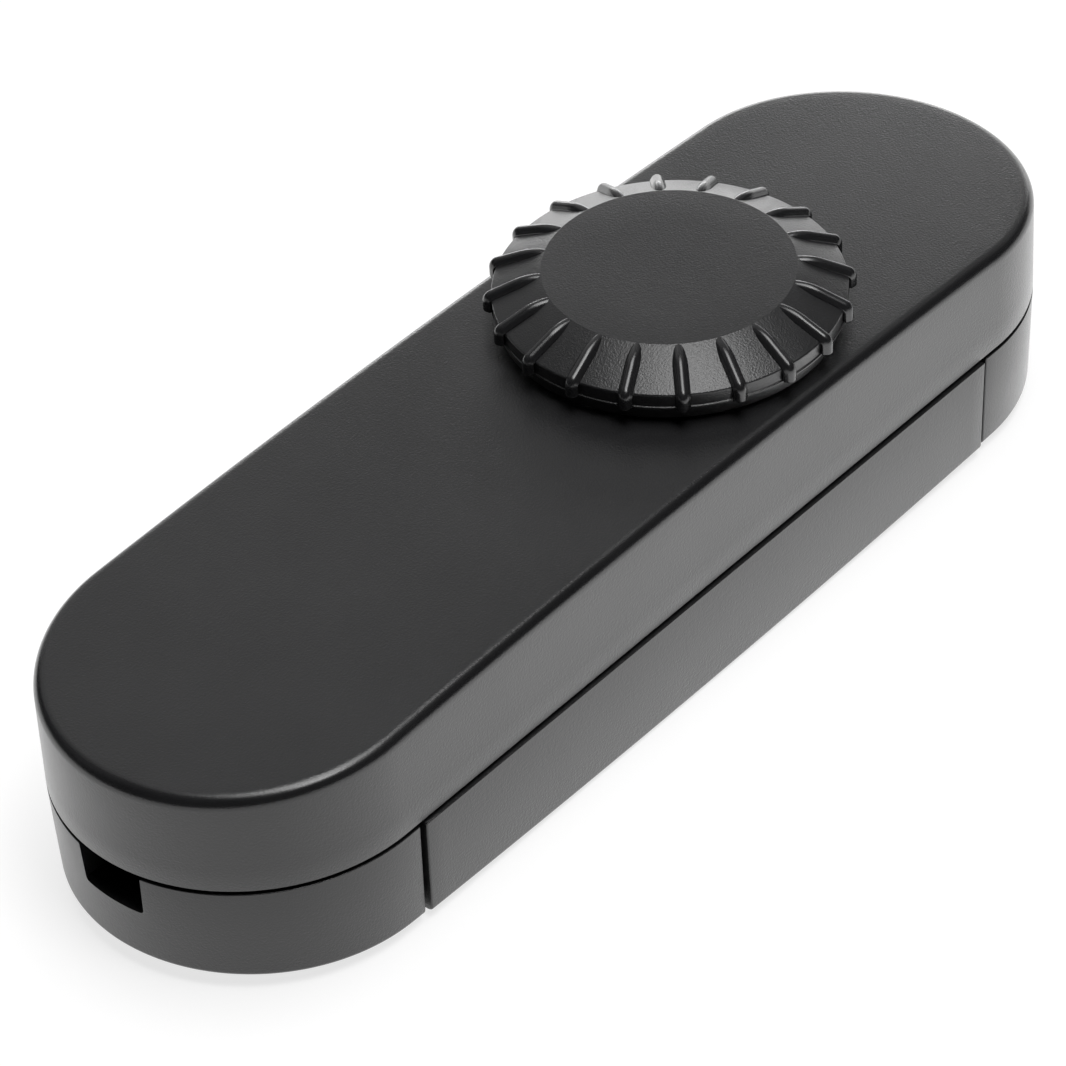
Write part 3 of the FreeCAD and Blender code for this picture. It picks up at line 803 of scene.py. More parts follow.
    def seam_lip(self) -> Piece:
        """Make the tongue that runs past both panel ends, behind the seams.

        Returns:
            Closed tool, a U in section.
        """
        reach = self.seam_x + self.seam_gap / 2 + self.seam_tongue
        inner = self.radius - self.wall
        outer = inner + self.tongue
        slim = self.lower_draft
        tip = self.parting + self.tongue_height
        half = self.lip_half_steps
        sections: list[Ring] = []
        for x in [reach * (i / half - 1) for i in range(2 * half + 1)]:
            low = self.floor(x) + self.wall - self.tongue
            high = self.floor(x) + self.wall
            sections.append([
                (x, inner, tip), (x, outer, tip), (x, outer, self.lower_top),
                (x, outer - slim, low), (x, -outer + slim, low), (x, -outer, self.lower_top),
                (x, -outer, tip), (x, -inner, tip), (x, -inner, high), (x, inner, high)])
        return self.shop.rings("lip", sections, cap_ends=True)

    def end_path(self, x: float, start: bool, shrink: float) -> list[Plan]:
        """Section of an end cover, from the outer floor's middle to the inner floor's.

        Args:
            x: Place along the length that sets the floor's height.
            start: Whether the place lies over the base's tongue, where the shell is rebated.
            shrink: How far the outside is drawn in, at the seam's edge.

        Returns:
            Points round the wall's section as (inset, height).
        """
        step = self.wall - self.tongue - self.fit if start else self.wall
        tip = self.lower_top if start else self.parting + self.tongue_height
        lip = step if start else self.wall - self.tongue
        floor = self.floor(x) + shrink
        inside = floor + step - shrink
        top = self.lower_top - shrink
        low_edge, crisp = self.floor_edge_radius, self.crisp_edge
        path = [(self.radius, floor), (self.radius * 0.5, floor), (self.floor_rim[0], floor)]
        for angle in arc_steps(self.floor_edge_steps):
            z = floor + low_edge * (1 - math.cos(angle))
            path.append((self.radius - self.lower_reach(z) + shrink
                         + low_edge * (1 - math.sin(angle)), z))
        path.append((self.radius - self.lower_reach(top / 2) + shrink, top / 2))
        for angle in arc_steps(self.crisp_steps):
            z = top - crisp * (1 - math.sin(angle))
            path.append((shrink + crisp * (1 - math.cos(angle))
                         + self.radius - self.lower_reach(z), z))
        path += [(lip, top), (lip, tip), (step, tip)]
        path += [(step + self.lower_draft * self.inner_draft_share, inside),
                 (self.floor_rim[1], inside), (self.radius, inside)]
        return path

    def build_end_cover(self, end: End) -> Piece:
        """Skin one end cover, with its cord slot, clamp ridge, screw posts and bores.

        Args:
            end: End that the cover is at; the near one is the far one turned round.

        Returns:
            The finished piece.
        """
        start = self.seam_x + self.seam_gap / 2
        lip_end = start + self.seam_tongue
        edge = self.panel_edge
        seam = [(start + edge * (1 - math.cos(a)), 0.0, -1.0, True, edge * (1 - math.sin(a)))
                for a in arc_steps(self.panel_edge_steps)]
        seam += [(lip_end, 0.0, -1.0, True, 0.0), (lip_end + self.hair, 0.0, -1.0, False, 0.0)]
        turned = []
        for i in range(self.end_steps + 1):
            angle = math.pi * (i / self.end_steps - 0.5)
            turned.append((self.straight, math.cos(angle), math.sin(angle), False, 0.0))
        mirrored = [(x, c, 1.0, r, k) for (x, c, s, r, k) in reversed(seam)]
        rings: list[Ring] = []
        for x, cos, sin, rebated, shrink in seam + turned + mirrored:
            ring: Ring = []
            for inset, z in self.end_path(x, rebated, shrink):
                reach = max(self.radius - inset, 0.0)
                px = x + reach * cos
                arched = z + self.floor(px) - self.floor(x)
                ring.append((px, reach * sin, arched if z < self.floor_zone else z))
            rings.append(ring)
        node = f"end_cover_{end.name.lower()}"
        piece = self.shop.rings(f"{node}_shell", rings, closed=False, cap_ends=True)
        self.shop.work(piece, Joinery.ADD, self.end_posts())
        self.shop.work(piece, Joinery.CUT, self.end_bores())
        if end is End.NEAR:
            piece.data.transform(Matrix.Rotation(math.pi, 4, "Z"))
        self.shop.soften(piece)
        return self.shop.finish(piece, "housing_plastic", Body.HOUSING, [node])

    def end_posts(self) -> list[Piece]:
        """Screw posts and the cord's ridge inside the far end cover.

        Returns:
            Closed tools.
        """
        x = self.clamp_x
        z = (self.floor(x) + self.root, self.slot_floor + self.ridge_rise)
        tools = [self.shop.block((x, 0.0), self.ridge_half, z)]
        for x, y in self.screw_places(End.FAR):
            low, shoulder = self.floor(x) + self.root, self.seat(x) + self.pocket_roof
            wide = self.pocket_radius + self.pocket_wall
            profile = [(0, low), (wide, low), (wide, shoulder), (self.boss_radius, shoulder),
                       (self.boss_radius, self.parting), (0, self.parting)]
            tools.append(self.shop.lathe("post", profile, (x, y), self.round_sides))
        return tools

    def end_bores(self) -> list[Piece]:
        """Cord slot, head pockets and shank holes of the far end cover.

        Returns:
            Closed tools.
        """
        half, corner = self.slot_width / 2, self.slot_corner
        foot = half - self.slot_taper
        section: list[Plan] = [(half, self.parting + self.slot_over), (half, self.lower_top)]
        for angle in arc_steps(self.slot_corner_steps):
            section.append((foot - corner * (1 - math.cos(angle)),
                            self.slot_floor + corner * (1 - math.sin(angle))))
        section += [(-y, z) for y, z in reversed(section)]
        x_limits = (self.half_length - 2 * self.wall, self.half_length + self.slot_past)
        ends = [[(x, y, z) for y, z in section] for x in x_limits]
        tools = [self.shop.rings("slot", ends, cap_ends=True)]
        low, high = self.bore_span
        for x, y in self.screw_places(End.FAR):
            seat = self.seat(x)
            profile = [(0, low), (self.pocket_radius, low), (self.pocket_radius, seat),
                       (self.shank_hole, seat), (self.shank_hole, high), (0, high)]
            tools.append(self.shop.lathe("bore", profile, (x, y), self.round_sides))
        return tools


def bake(tree: Tree, name: str, values: dict[str, Any], seeds: Sequence[Point] = ()) -> Piece:
    """Run a geometry node tree and keep its result as a plain mesh.

    Args:
        tree: Tree to run.
        name: Name of the new piece.
        values: Value for each named input of the tree.
        seeds: Points in millimetres that the tree is given as its geometry.

    Returns:
        Object with the baked mesh and no modifier.
    """
    piece = bpy.data.objects.new(name, bpy.data.meshes.new(name + "_seed"))
    piece.data.from_pydata([Vector(p) * MM for p in seeds], [], [])
    bpy.context.scene.collection.objects.link(piece)
    modifier = piece.modifiers.new(name, "NODES")
    modifier.node_group = tree
    for item in tree.interface.items_tree:
        if item.in_out == "INPUT" and item.name in values:
            modifier[item.identifier] = values[item.name]
    bpy.context.view_layer.update()
    evaluated = piece.evaluated_get(bpy.context.evaluated_depsgraph_get())
    data = bpy.data.meshes.new_from_object(evaluated)
    piece.modifiers.remove(modifier)
    piece.data = data
    return piece


@dataclass
class Knob:
    """The turning knob: a lathed body and a ring of ribs."""

    shop: Workshop
    disc_radius: float = 11.4
    disc_row: float = 0.6
    rim_radius: float = 15.93
    skirt_radius: float = 15.5
    skirt_height: float = 1.3
    skirt_edge: float = 0.08
    rim_height: float = 1.5
    wall: float = 1.6
    roof: float = 2.4
    hub_radius: float = 5.2
    hub_clearance: float = 0.3
    disc_edge: float = 0.1
    disc_edge_steps: int = 3
    rim_edge: float = 0.2
    rim_edge_steps: int = 6
    lip_height: float = 0.24
    lip_slope: float = 0.05
    lip_proud: float = 0.04
    lip_edge: float = 0.04
    lip_edge_steps: int = 4
    band_draft: float = 0.08
    bore_radius: float = 3.02
    bore_over: float = 1.0
    bore_steps: int = 48
    flat_depth: float = 0.8
    rib_count: int = 20
    rib_phase: float = 7.5
    rib_radius: float = 0.58
    rib_start: float = 0.3
    rib_sink: float = 0.01
    rib_proud: float = 0.2
    rib_corner: float = 0.5
    rib_sweep: float = 5.0
    rib_foot: float = 0.1
    rib_flare: float = 0.2
    # How quickly the flare fades above and below a rib's widest level.
    rib_flare_fall: float = -16.0
    # A rib's thickness along its length: even, a little fuller round the rim, drawn in at its foot.
    rib_taper: tuple[Plan, ...] = ((0.0, 1.0), (0.945, 1.0), (0.955, 1.1), (0.975, 1.1),
                                   (0.99, 0.94), (1.0, 0.66))
    rib_bend_steps: int = 10
    rib_rings: int = 88
    rib_sides: int = 36
    segments: int = 288
    sharp_degrees: float = 20.0

    def __post_init__(self) -> None:
        """Read the knob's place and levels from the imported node."""
        low, high = in_mm("knob")
        self.x = (low.x + high.x) / 2
        self.bottom = low.z
        self.top = high.z
        self.rim_bottom = self.bottom + self.skirt_height
        self.rim_top = self.rim_bottom + self.rim_height

    def bend(self, before: Plan, corner: Plan, after: Plan, radius: float,
             steps: int) -> list[Plan]:
        """Round one corner of a profile.

        Args:
            before: Profile point before the corner.
            corner: The corner.
            after: Profile point after the corner.
            radius: Rounding radius.
            steps: Steps along the rounding.

        Returns:
            Points along the rounding.
        """
        at = Vector(corner)
        a = (Vector(before) - at).normalized()
        b = (Vector(after) - at).normalized()
        half = a.angle(b) / 2
        reach = radius / math.tan(half)
        centre = at + (a + b).normalized() * (radius / math.sin(half))
        first, last = at + a * reach - centre, at + b * reach - centre
        turn = first.angle_signed(last)
        points = []
        for i in range(steps + 1):
            angle = -turn * i / steps
            spoke = Vector((first.x * math.cos(angle) - first.y * math.sin(angle),
                            first.x * math.sin(angle) + first.y * math.cos(angle)))
            points.append(tuple(centre + spoke))
        return points

    def build_body(self) -> Piece:
        """Turn the knob's body: disc, chamfer, rim, skirt, hollow underside and bored hub.

        Returns:
            The finished piece.
        """
        inner = self.skirt_radius - self.wall
        under = self.top - self.roof
        hub_low = in_mm("pot_bush")[1].z + self.hub_clearance
        disc, rim = (self.disc_radius, self.top), (self.rim_radius, self.rim_top)
        lip_top = self.rim_bottom + self.lip_height
        lip_radius = self.rim_radius + self.lip_proud
        ledge = (self.rim_radius - self.band_draft, lip_top)
        lip, low = (lip_radius, lip_top - self.lip_slope), (lip_radius, self.rim_bottom)
        skirt = (self.skirt_radius, self.rim_bottom)
        profile = [(0.0, self.top), (self.disc_radius * self.disc_row, self.top)]
        profile += self.bend((0.0, self.top), disc, rim, self.disc_edge, self.disc_edge_steps)
        profile += self.bend(disc, rim, ledge, self.rim_edge, self.rim_edge_steps)
        profile.append(ledge)
        profile += self.bend(ledge, lip, low, self.lip_edge, self.lip_edge_steps)
        profile += self.bend(lip, low, skirt, self.lip_edge, self.lip_edge_steps)
        profile += [skirt, (self.skirt_radius, self.bottom + self.skirt_edge),
                    (self.skirt_radius - self.skirt_edge, self.bottom), (inner, self.bottom),
                    (inner, under), (self.hub_radius, under), (self.hub_radius, hub_low),
                    (0.0, hub_low)]
        piece = self.shop.lathe("knob_body", profile, (self.x, 0), self.segments)
        self.shop.work(piece, Joinery.CUT, [self.bore(hub_low - self.bore_over, under)])
        self.shop.soften(piece, self.sharp_degrees)
        return self.shop.finish(piece, "knob_plastic", Body.ROTOR, ["knob"])

    def bore(self, low: float, high: float) -> Piece:
        """Round bore with one flat, which takes the shaft.

        Args:
            low: Level that it starts at.
            high: Level that it ends at.

        Returns:
            Closed tool.
        """
        radius, steps = self.bore_radius, self.bore_steps
        start = math.acos((radius - self.flat_depth) / radius)
        turn = [start + (2 * math.pi - 2 * start) * i / steps for i in range(steps + 1)]
        plan = [(self.x + radius * math.cos(a), radius * math.sin(a)) for a in turn]
        ends = [[(x, y, z) for x, y in plan] for z in (low, high)]
        return self.shop.rings("bore", ends, cap_ends=True)

    def rib_path(self) -> list[Point]:
        """Centre line of one rib: level with the disc, down the chamfer and down the rim's wall.

        Returns:
            Its four corners, with the knob's axis at nought.
        """
        slope = (self.top - self.rim_top) / (self.rim_radius - self.disc_radius)
        depth = self.rib_radius + self.rib_sink
        level = self.top - depth
        wall_r = self.rim_radius + self.rib_proud
        first = (self.disc_radius - self.rib_start, 0.0, level)
        second = (self.disc_radius + depth / slope, 0.0, level)
        third = (wall_r, 0.0, self.top - slope * (wall_r - self.disc_radius))
        last = (wall_r, 0.0, self.rim_bottom + self.rib_foot)
        return [first, second, third, last]

    def rib_tree(self) -> Tree:
        """Geometry nodes that sweep one rib and turn copies of it about the knob's axis.

        Returns:
            Node tree with named inputs for the ribs' sizes.
        """
        tree = bpy.data.node_groups.new("knob_ribs", "GeometryNodeTree")
        face = tree.interface
        face.new_socket("Geometry", in_out="OUTPUT", socket_type="NodeSocketGeometry")
        names = {f"Path Point {i + 1}": "Vector" for i in range(4)}
        names.update({"Rib Radius": "Float", "Base Flare": "Float", "Crest Bend Radius": "Float",
                      "Rim Bend Radius": "Float", "Rib Count": "Int", "First Angle": "Float",
                      "Axis X": "Float", "Finish": "Material"})
        for name, kind in names.items():
            face.new_socket(name, in_out="INPUT", socket_type=f"NodeSocket{kind}")
        given = add_node(tree, "NodeGroupInput").outputs
        order = add_node(tree, "GeometryNodeInputIndex")
        shaded = add_node(tree, "GeometryNodeSetShadeSmooth", {
            "Geometry": add_node(tree, "GeometryNodeCurveToMesh", {
                "Curve": self.add_rib_line(tree, given, order),
                "Profile Curve": self.add_rib_section(tree, given),
                "Scale": self.add_rib_taper(tree), "Fill Caps": True})})
        axis = add_node(tree, "ShaderNodeCombineXYZ", {"X": given["Axis X"]})
        spots = add_node(tree, "GeometryNodeMeshLine", {
            "Count": given["Rib Count"], "Start Location": axis, "Offset": (0.0, 0.0, 0.0)})
        step = add_node(tree, "ShaderNodeMath", {0: 2 * math.pi, 1: given["Rib Count"]},
                        operation="DIVIDE")
        angle = add_node(tree, "ShaderNodeMath", {0: order, 1: step, 2: given["First Angle"]},
                         operation="MULTIPLY_ADD")
        turn = add_node(tree, "ShaderNodeCombineXYZ", {"Z": angle})
        copies = add_node(tree, "GeometryNodeInstanceOnPoints", {
            "Points": spots, "Instance": shaded, "Rotation": turn})
        real = add_node(tree, "GeometryNodeRealizeInstances", {"Geometry": copies})
        dressed = add_node(tree, "GeometryNodeSetMaterial", {
            "Geometry": real, "Material": given["Finish"]})
        add_node(tree, "NodeGroupOutput", {"Geometry": dressed})
        return tree

    def add_rib_line(self, tree: Tree, given: Any, order: bpy.types.Node) -> bpy.types.Node:
        """Add nodes that draw a rib's centre line through its corners, with both bends rounded.

        Args:
            tree: Tree that takes the nodes.
            given: Output sockets of the tree's inputs.
            order: Node that gives a point's index.

        Returns:
            Node with the evenly spaced curve.
        """
        corner = add_node(tree, "GeometryNodeIndexSwitch", {"Index": order}, data_type="VECTOR")
        for index in range(4):
            if index > 1:
                corner.index_switch_items.new()
            tree.links.new(given[f"Path Point {index + 1}"], corner.inputs[index + 1])
        corners = add_node(tree, "GeometryNodePoints", {"Count": 4, "Position": corner})
        line = add_node(tree, "GeometryNodePointsToCurves", {"Points": corners})
        easing = add_node(tree, "ShaderNodeMapRange", {
            "Value": order, "From Min": 1.0, "From Max": 2.0,
            "To Min": given["Crest Bend Radius"], "To Max": given["Rim Bend Radius"]})
        bent = add_node(tree, "GeometryNodeFilletCurve", {
            "Curve": line, "Count": self.rib_bend_steps, "Radius": easing}, mode="POLY")
        return add_node(tree, "GeometryNodeResampleCurve", {
            "Curve": bent, "Count": self.rib_rings})

    def add_rib_taper(self, tree: Tree) -> bpy.types.Node:
        """Add nodes that give a rib's thickness along its length.

        Args:
            tree: Tree that takes the nodes.

        Returns:
            Node with the share of the full thickness.
        """
        share = add_node(tree, "GeometryNodeSplineParameter").outputs["Factor"]
        taper = add_node(tree, "ShaderNodeFloatCurve", {"Value": share})
        points = taper.mapping.curves[0].points
        points[0].location, points[1].location = self.rib_taper[0], self.rib_taper[-1]
        for place, size in self.rib_taper[1:-1]:
            points.new(place, size)
        for point in points:
            point.handle_type = "VECTOR"
        taper.mapping.update()
        return taper

    def add_rib_section(self, tree: Tree, given: Any) -> bpy.types.Node:
        """Add nodes that draw a rib's section: round, and flared where it meets the chamfer.

        Args:
            tree: Tree that takes the nodes.
            given: Output sockets of the tree's inputs.

        Returns:
            Node with the closed curve.
        """
        circle = add_node(tree, "GeometryNodeCurvePrimitiveCircle", {
            "Resolution": self.rib_sides, "Radius": given["Rib Radius"]})
        place = add_node(tree, "GeometryNodeInputPosition")
        parts = add_node(tree, "ShaderNodeSeparateXYZ", {0: place}).outputs
        level = add_node(tree, "ShaderNodeMath", {0: parts["Y"], 1: given["Rib Radius"]},
                         operation="DIVIDE")
        near = add_node(tree, "ShaderNodeMath", {0: level, 1: level}, operation="MULTIPLY")
        fall = add_node(tree, "ShaderNodeMath", {0: near, 1: self.rib_flare_fall},
                        operation="MULTIPLY")
        bell = add_node(tree, "ShaderNodeMath", {0: fall}, operation="EXPONENT")
        wider = add_node(tree, "ShaderNodeMath", {0: bell, 1: given["Base Flare"], 2: 1.0},
                         operation="MULTIPLY_ADD")
        across = add_node(tree, "ShaderNodeMath", {0: parts["X"], 1: wider}, operation="MULTIPLY")
        spot = add_node(tree, "ShaderNodeCombineXYZ", {"X": across, "Y": parts["Y"]})
        return add_node(tree, "GeometryNodeSetPosition", {"Geometry": circle, "Position": spot})

    def build_ribs(self) -> Piece:
        """Bake the ribs into one mesh that rides with the knob.

        Returns:
            The finished piece.
        """
        values: dict[str, Any] = {f"Path Point {i + 1}": tuple(c * MM for c in p)
                                  for i, p in enumerate(self.rib_path())}
        values.update({"Rib Radius": self.rib_radius * MM, "Rim Bend Radius": self.rib_corner * MM,
                       "Crest Bend Radius": self.rib_sweep * MM, "Base Flare": self.rib_flare,
                       "Rib Count": self.rib_count, "First Angle": math.radians(self.rib_phase),
                       "Axis X": self.x * MM, "Finish": self.shop.materials["knob_ribs"]})
        piece = bake(self.rib_tree(), "knob_ribs", values)
        return self.shop.finish(piece, "knob_plastic", Body.ROTOR, finish="knob_ribs")


@dataclass
class Screws:
    """The four pan-head screws of the end covers, with cross recesses."""

    shop: Workshop
    housing: Housing
    head_radius: float = 2.4
    head_height: float = 1.8
    head_dome: float = 1.16
    head_sides: int = 48
    shank_radius: float = 1.3
    shank_sides: int = 32
    recess_length: float = 2.9
    recess_width: float = 0.75
    recess_depth: float = 1.0
    sharp_degrees: float = 35.0

    def tree(self) -> Tree:
        """Geometry nodes that make one screw and set copies of it on given points.

        Returns:
            Node tree with named inputs for the screw's sizes.
        """
        tree = bpy.data.node_groups.new("cover_screws", "GeometryNodeTree")
        face = tree.interface
        face.new_socket("Geometry", in_out="INPUT", socket_type="NodeSocketGeometry")
        face.new_socket("Geometry", in_out="OUTPUT", socket_type="NodeSocketGeometry")
        for name in ("Head Radius", "Head Height", "Shank Radius", "Shank Length", "Recess Length",
                     "Recess Width", "Recess Depth"):
            face.new_socket(name, in_out="INPUT", socket_type="NodeSocketFloat")
        face.new_socket("Finish", in_out="INPUT", socket_type="NodeSocketMaterial")
        given = add_node(tree, "NodeGroupInput").outputs

        def half_up(size: str, sign: float) -> bpy.types.Node:
            """Add nodes that give a vector along Z by half of a size.

            Args:
                size: Name of the tree's input that holds the size.
                sign: One for up, minus one for down.

            Returns:
                Node with the vector.
            """
            part = add_node(tree, "ShaderNodeMath", {0: given[size], 1: 0.5 * sign},
                            operation="MULTIPLY")
            return add_node(tree, "ShaderNodeCombineXYZ", {"Z": part})

        head = add_node(tree, "GeometryNodeMeshCylinder", {
            "Vertices": self.head_sides, "Radius": given["Head Radius"],
            "Depth": given["Head Height"]})
        crown = add_node(tree, "GeometryNodeMeshUVSphere", {
            "Segments": self.head_sides, "Rings": self.head_sides // 2,
            "Radius": given["Head Radius"]})
        tall = add_node(tree, "ShaderNodeMath", {
            0: given["Head Height"], 1: given["Head Radius"]}, operation="DIVIDE")
        squash = add_node(tree, "ShaderNodeCombineXYZ", {
            "X": self.head_dome, "Y": self.head_dome, "Z": tall})
        dome = add_node(tree, "GeometryNodeTransform", {
            "Geometry": crown, "Scale": squash, "Translation": half_up("Head Height", 1.0)})
        rounded = add_node(tree, "GeometryNodeMeshBoolean", operation="INTERSECT")
        tree.links.new(head.outputs["Mesh"], rounded.inputs["Mesh 2"])
        tree.links.new(dome.outputs["Geometry"], rounded.inputs["Mesh 2"])
        depth = add_node(tree, "ShaderNodeMath", {0: given["Recess Depth"], 1: 2.0},
                         operation="MULTIPLY")
        driven = add_node(tree, "GeometryNodeMeshBoolean", {"Mesh 1": rounded},
                          operation="DIFFERENCE")
        for x, y in (("Recess Length", "Recess Width"), ("Recess Width", "Recess Length")):
            size = add_node(tree, "ShaderNodeCombineXYZ", {
                "X": given[x], "Y": given[y], "Z": depth})
            bar = add_node(tree, "GeometryNodeMeshCube", {"Size": size})
            lowered = add_node(tree, "GeometryNodeTransform", {
                "Geometry": bar, "Translation": half_up("Head Height", -1.0)})
            tree.links.new(lowered.outputs["Geometry"], driven.inputs["Mesh 2"])
        seated = add_node(tree, "GeometryNodeTransform", {
            "Geometry": driven, "Translation": half_up("Head Height", -1.0)})
        shank = add_node(tree, "GeometryNodeMeshCylinder", {
            "Vertices": self.shank_sides, "Radius": given["Shank Radius"],
            "Depth": given["Shank Length"]})
        raised = add_node(tree, "GeometryNodeTransform", {
            "Geometry": shank, "Translation": half_up("Shank Length", 1.0)})
        screw = add_node(tree, "GeometryNodeJoinGeometry")
        tree.links.new(seated.outputs["Geometry"], screw.inputs[0])
        tree.links.new(raised.outputs["Geometry"], screw.inputs[0])
        spots = add_node(tree, "GeometryNodeMeshToPoints", {"Mesh": given["Geometry"]})
        copies = add_node(tree, "GeometryNodeInstanceOnPoints", {
            "Points": spots, "Instance": screw})
        real = add_node(tree, "GeometryNodeRealizeInstances", {"Geometry": copies})
        dressed = add_node(tree, "GeometryNodeSetMaterial", {
            "Geometry": real, "Material": given["Finish"]})
        add_node(tree, "NodeGroupOutput", {"Geometry": dressed})
        return tree

    def build(self) -> Piece:
        """Set the screws on their seats and bake them.

        Returns:
            The finished piece.
        """
        places = self.housing.screw_places(End.FAR) + self.housing.screw_places(End.NEAR)
        seats = [(x, y, self.housing.seat(abs(x))) for x, y in places]
        top = in_mm("end_cover_screws")[1].z
        values = {"Head Radius": self.head_radius * MM, "Head Height": self.head_height * MM,
                  "Shank Radius": self.shank_radius * MM,
                  "Shank Length": (top - seats[0][2]) * MM,
                  "Recess Length": self.recess_length * MM, "Recess Width": self.recess_width * MM,
                  "Recess Depth": self.recess_depth * MM,
                  "Finish": self.shop.materials["screw_steel"]}
        piece = bake(self.tree(), "end_cover_screw_set", values, seats)
        self.shop.soften(piece, self.sharp_degrees)
        return self.shop.finish(piece, "screw_steel", Body.HOUSING, ["end_cover_screws"])


@dataclass
class InnerParts:
    """The potentiometer, board and terminals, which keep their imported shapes."""

    materials: dict[str, bpy.types.Material]
    replaced: tuple[str, ...] = ("top_cover", "base", "end_cover_near", "end_cover_far", "knob",
                                 "end_cover_screws")

    def dress(self) -> None:
        """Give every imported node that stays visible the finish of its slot."""
        slots = {part["node"]: part["material_slot"] for part in frame["record"]["subparts"]}
        for name, node in frame["nodes"].items():
            if name in self.replaced:
                continue
            node.data.materials.clear()
            node.data.materials.append(self.materials[slots[name]])
            LOG.info("%s keeps its shape, finished as %s", name, slots[name])


@dataclass(frozen=True)
class Softbox:
    """One soft lamp that points at the floor's middle, placed by degrees and metres."""

    name: str
    azimuth: float
    elevation: float
    size: Plan
    watts: float
    distance: float = 0.8

    def hang(self) -> None:
        """Hang the lamp, its azimuth counted from +X towards +Y."""
        turn, rise = math.radians(self.azimuth), math.radians(self.elevation)
        place = Vector((math.cos(turn) * math.cos(rise), math.sin(turn) * math.cos(rise),
                        math.sin(rise)))
        data = bpy.data.lights.new(self.name, "AREA")
        data.shape = "RECTANGLE"
        data.size, data.size_y = self.size
        data.energy = self.watts
        lamp = bpy.data.objects.new(self.name, data)
        lamp.location = place * self.distance
        lamp.rotation_euler = (-place).to_track_quat("-Z", "Y").to_euler()
        bpy.context.scene.collection.objects.link(lamp)


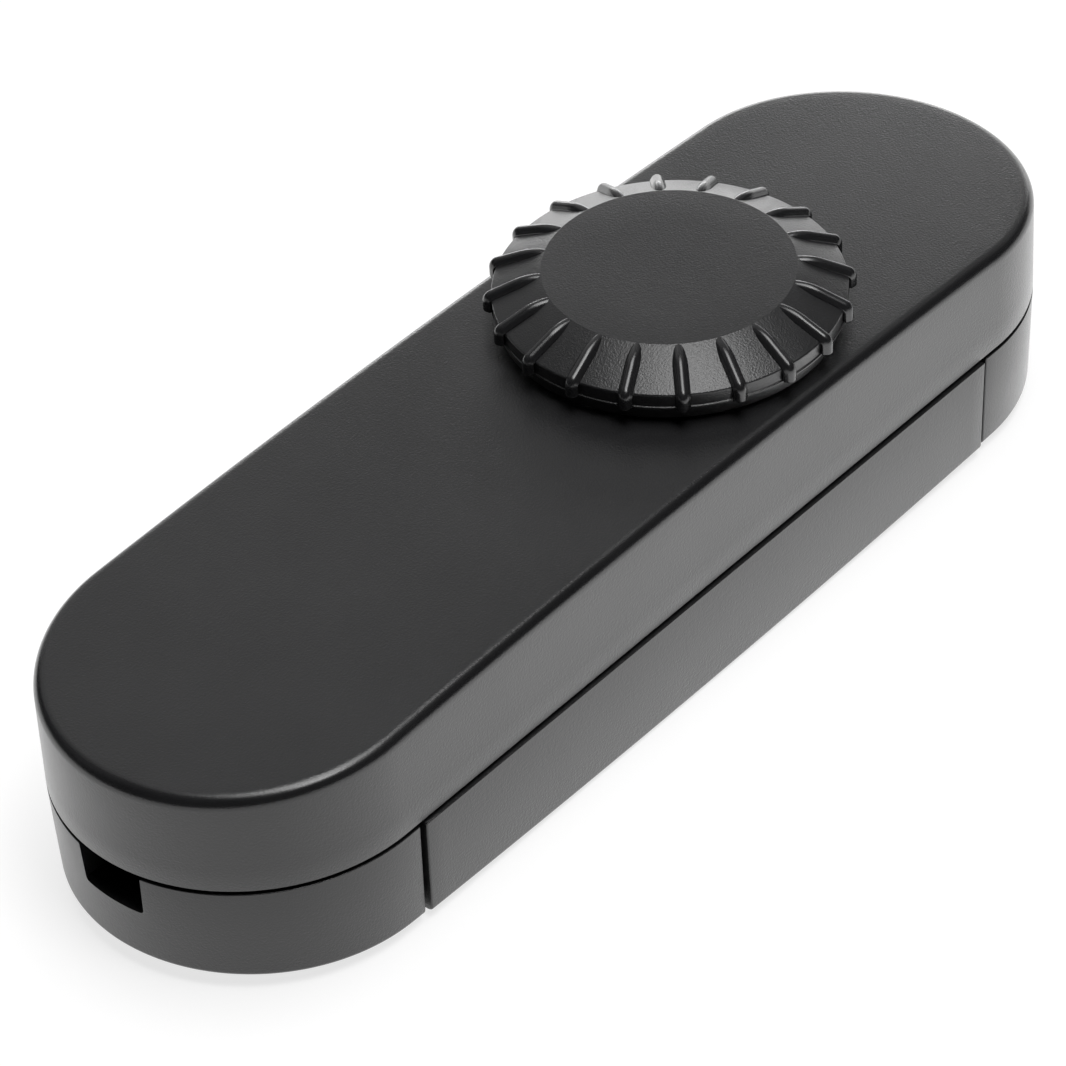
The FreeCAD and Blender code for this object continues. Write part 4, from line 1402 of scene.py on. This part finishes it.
@dataclass
class Studio:
    """Camera at the photograph's angle, white floor and soft light."""

    camera_place: Point = (-0.222196, -0.203276, 0.261242)
    camera_right: Point = (0.65168614, -0.75694251, -0.04840673)
    camera_down: Point = (-0.51287342, -0.39273892, -0.76335902)
    lens_mm: float = 148.1
    sensor_mm: float = 36.0
    clip_start_m: float = 0.01
    floor_radius_m: float = 3.0
    floor_sides: int = 64
    floor_gap_mm: float = 0.02
    # The floor as the camera sees it: a grey that the shadow falls on, and a white added to it.
    floor_seen: str = "#979797"
    floor_seen_level: float = 0.75
    # The floor as the part mirrors it: pale, with a painted pool of light glowing in front of the
    # long side, which the long side mirrors as a painted highlight.
    floor_paper: str = "#f2f2f2"
    painted_pool_place_m: Point = (0.022, -0.09, 0.0)
    painted_pool_reach_m: Plan = (0.06, 0.105)
    painted_pool_levels: Plan = (1.4, 0.68)
    lamps: tuple[Softbox, ...] = (
        Softbox("overhead_softbox", -40, 84, (0.5, 0.5), 3.55),
        Softbox("overhead_core", -40, 84, (0.32, 0.32), 1.0, 0.79),
        Softbox("front_high_softbox", -100, 68, (0.22, 0.22), 1.5),
        Softbox("back_left_softbox", 70, 12, (0.45, 0.3), 0.25),
        Softbox("back_softbox", 45, 12, (0.45, 0.3), 0.76),
        Softbox("back_right_softbox", 20, 12, (0.45, 0.3), 0.67),
        Softbox("back_strip", 43, 4, (0.5, 0.1), 0.88, 0.9),
        Softbox("back_right_strip", 10, 4, (0.5, 0.1), 0.25, 0.9),
        Softbox("back_high_softbox", 43, 42, (0.45, 0.45), 0.295),
        Softbox("right_high_softbox", 0, 42, (0.45, 0.45), 0.166),
        Softbox("left_high_softbox", 80, 42, (0.45, 0.45), 0.37),
        Softbox("far_left_high_softbox", 120, 42, (0.45, 0.45), 0.08))

    def build(self) -> None:
        """Set up the camera, the floor, the world and the lamps."""
        self.set_camera()
        self.set_floor()
        self.set_world()
        for lamp in self.lamps:
            lamp.hang()
        bpy.context.scene.view_settings.view_transform = "Standard"

    def set_camera(self) -> None:
        """Place the camera that was fitted to the photograph."""
        right, up = Vector(self.camera_right), -Vector(self.camera_down)
        back = right.cross(up)
        turn = Matrix((right, up, back)).transposed().to_4x4()
        data = bpy.data.cameras.new("photo_camera")
        data.sensor_width = self.sensor_mm
        data.lens = self.lens_mm
        data.clip_start = self.clip_start_m
        camera = bpy.data.objects.new("photo_camera", data)
        camera.matrix_world = Matrix.Translation(self.camera_place) @ turn
        bpy.context.scene.collection.objects.link(camera)
        bpy.context.scene.camera = camera

    def set_floor(self) -> None:
        """Lay a wide white floor that keeps the object's shadow."""
        mesh = bmesh.new()
        bmesh.ops.create_circle(mesh, cap_ends=True, segments=self.floor_sides,
                                radius=self.floor_radius_m)
        data = bpy.data.meshes.new("floor")
        mesh.to_mesh(data)
        mesh.free()
        floor = bpy.data.objects.new("floor", data)
        floor.location.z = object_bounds()[0][2] - self.floor_gap_mm * MM
        bpy.context.scene.collection.objects.link(floor)
        data.materials.append(self.floor_material())
        floor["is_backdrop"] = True

    def floor_material(self) -> bpy.types.Material:
        """Make the floor's whites: for the camera, for mirrored rays with a painted pool of light,
        and plain paper for the rest.

        Returns:
            The floor's material.
        """
        material = blank_material("white_floor")
        tree = material.node_tree
        path = add_node(tree, "ShaderNodeLightPath").outputs
        paper = add_node(tree, "ShaderNodeBsdfDiffuse", {"Color": linear(self.floor_paper)})
        spot = add_node(tree, "ShaderNodeTexCoord").outputs["Object"]
        off = add_node(tree, "ShaderNodeVectorMath", {0: spot, 1: self.painted_pool_place_m},
                       operation="DISTANCE")
        # Painted pool of light: a glow that falls off with distance from a spot in front of the
        # long side, seen only by mirrored rays.
        level = add_node(tree, "ShaderNodeMapRange", {
            "Value": off.outputs["Value"], "From Min": self.painted_pool_reach_m[0],
            "From Max": self.painted_pool_reach_m[1], "To Min": self.painted_pool_levels[0],
            "To Max": self.painted_pool_levels[1]})
        painted_light_pool = add_node(tree, "ShaderNodeEmission", {"Color": WHITE, "Strength": level})
        paper_with_painted_pool = add_node(tree, "ShaderNodeAddShader", {0: paper, 1: painted_light_pool})
        mirrored = add_node(tree, "ShaderNodeMath", {
            0: path["Is Glossy Ray"], 1: path["Is Transmission Ray"]}, operation="MAXIMUM")
        reflected = add_node(tree, "ShaderNodeMixShader", {0: mirrored, 1: paper, 2: paper_with_painted_pool})
        grey = add_node(tree, "ShaderNodeBsdfDiffuse", {"Color": linear(self.floor_seen)})
        white = add_node(tree, "ShaderNodeEmission", {
            "Color": WHITE, "Strength": self.floor_seen_level})
        seen = add_node(tree, "ShaderNodeAddShader", {0: grey, 1: white})
        final = add_node(tree, "ShaderNodeMixShader", {
            0: path["Is Camera Ray"], 1: reflected, 2: seen})
        add_node(tree, "ShaderNodeOutputMaterial", {"Surface": final})
        return material

    def set_world(self) -> None:
        """Make the world white to the camera and dark to every other ray."""
        world = bpy.data.worlds.new("studio")
        bpy.context.scene.world = world
        world.use_nodes = True
        tree = world.node_tree
        tree.nodes.clear()
        path = add_node(tree, "ShaderNodeLightPath").outputs
        sky = add_node(tree, "ShaderNodeBackground", {
            "Color": WHITE, "Strength": path["Is Camera Ray"]})
        add_node(tree, "ShaderNodeOutputWorld", {"Surface": sky})


def main() -> None:
    """Build the studio, dress the inner parts and make the shells, knob and screws."""
    logging.basicConfig(level=logging.INFO, format="%(message)s")
    materials = Finishes().by_slot()
    shop = Workshop(materials)
    InnerParts(materials).dress()
    housing = Housing(shop)
    housing.build_top_cover()
    housing.build_base()
    for end in (End.NEAR, End.FAR):
        housing.build_end_cover(end)
    Screws(shop, housing).build()
    knob = Knob(shop)
    knob.build_body()
    knob.build_ribs()
    Studio().build()


if __name__ == "__main__":
    main()
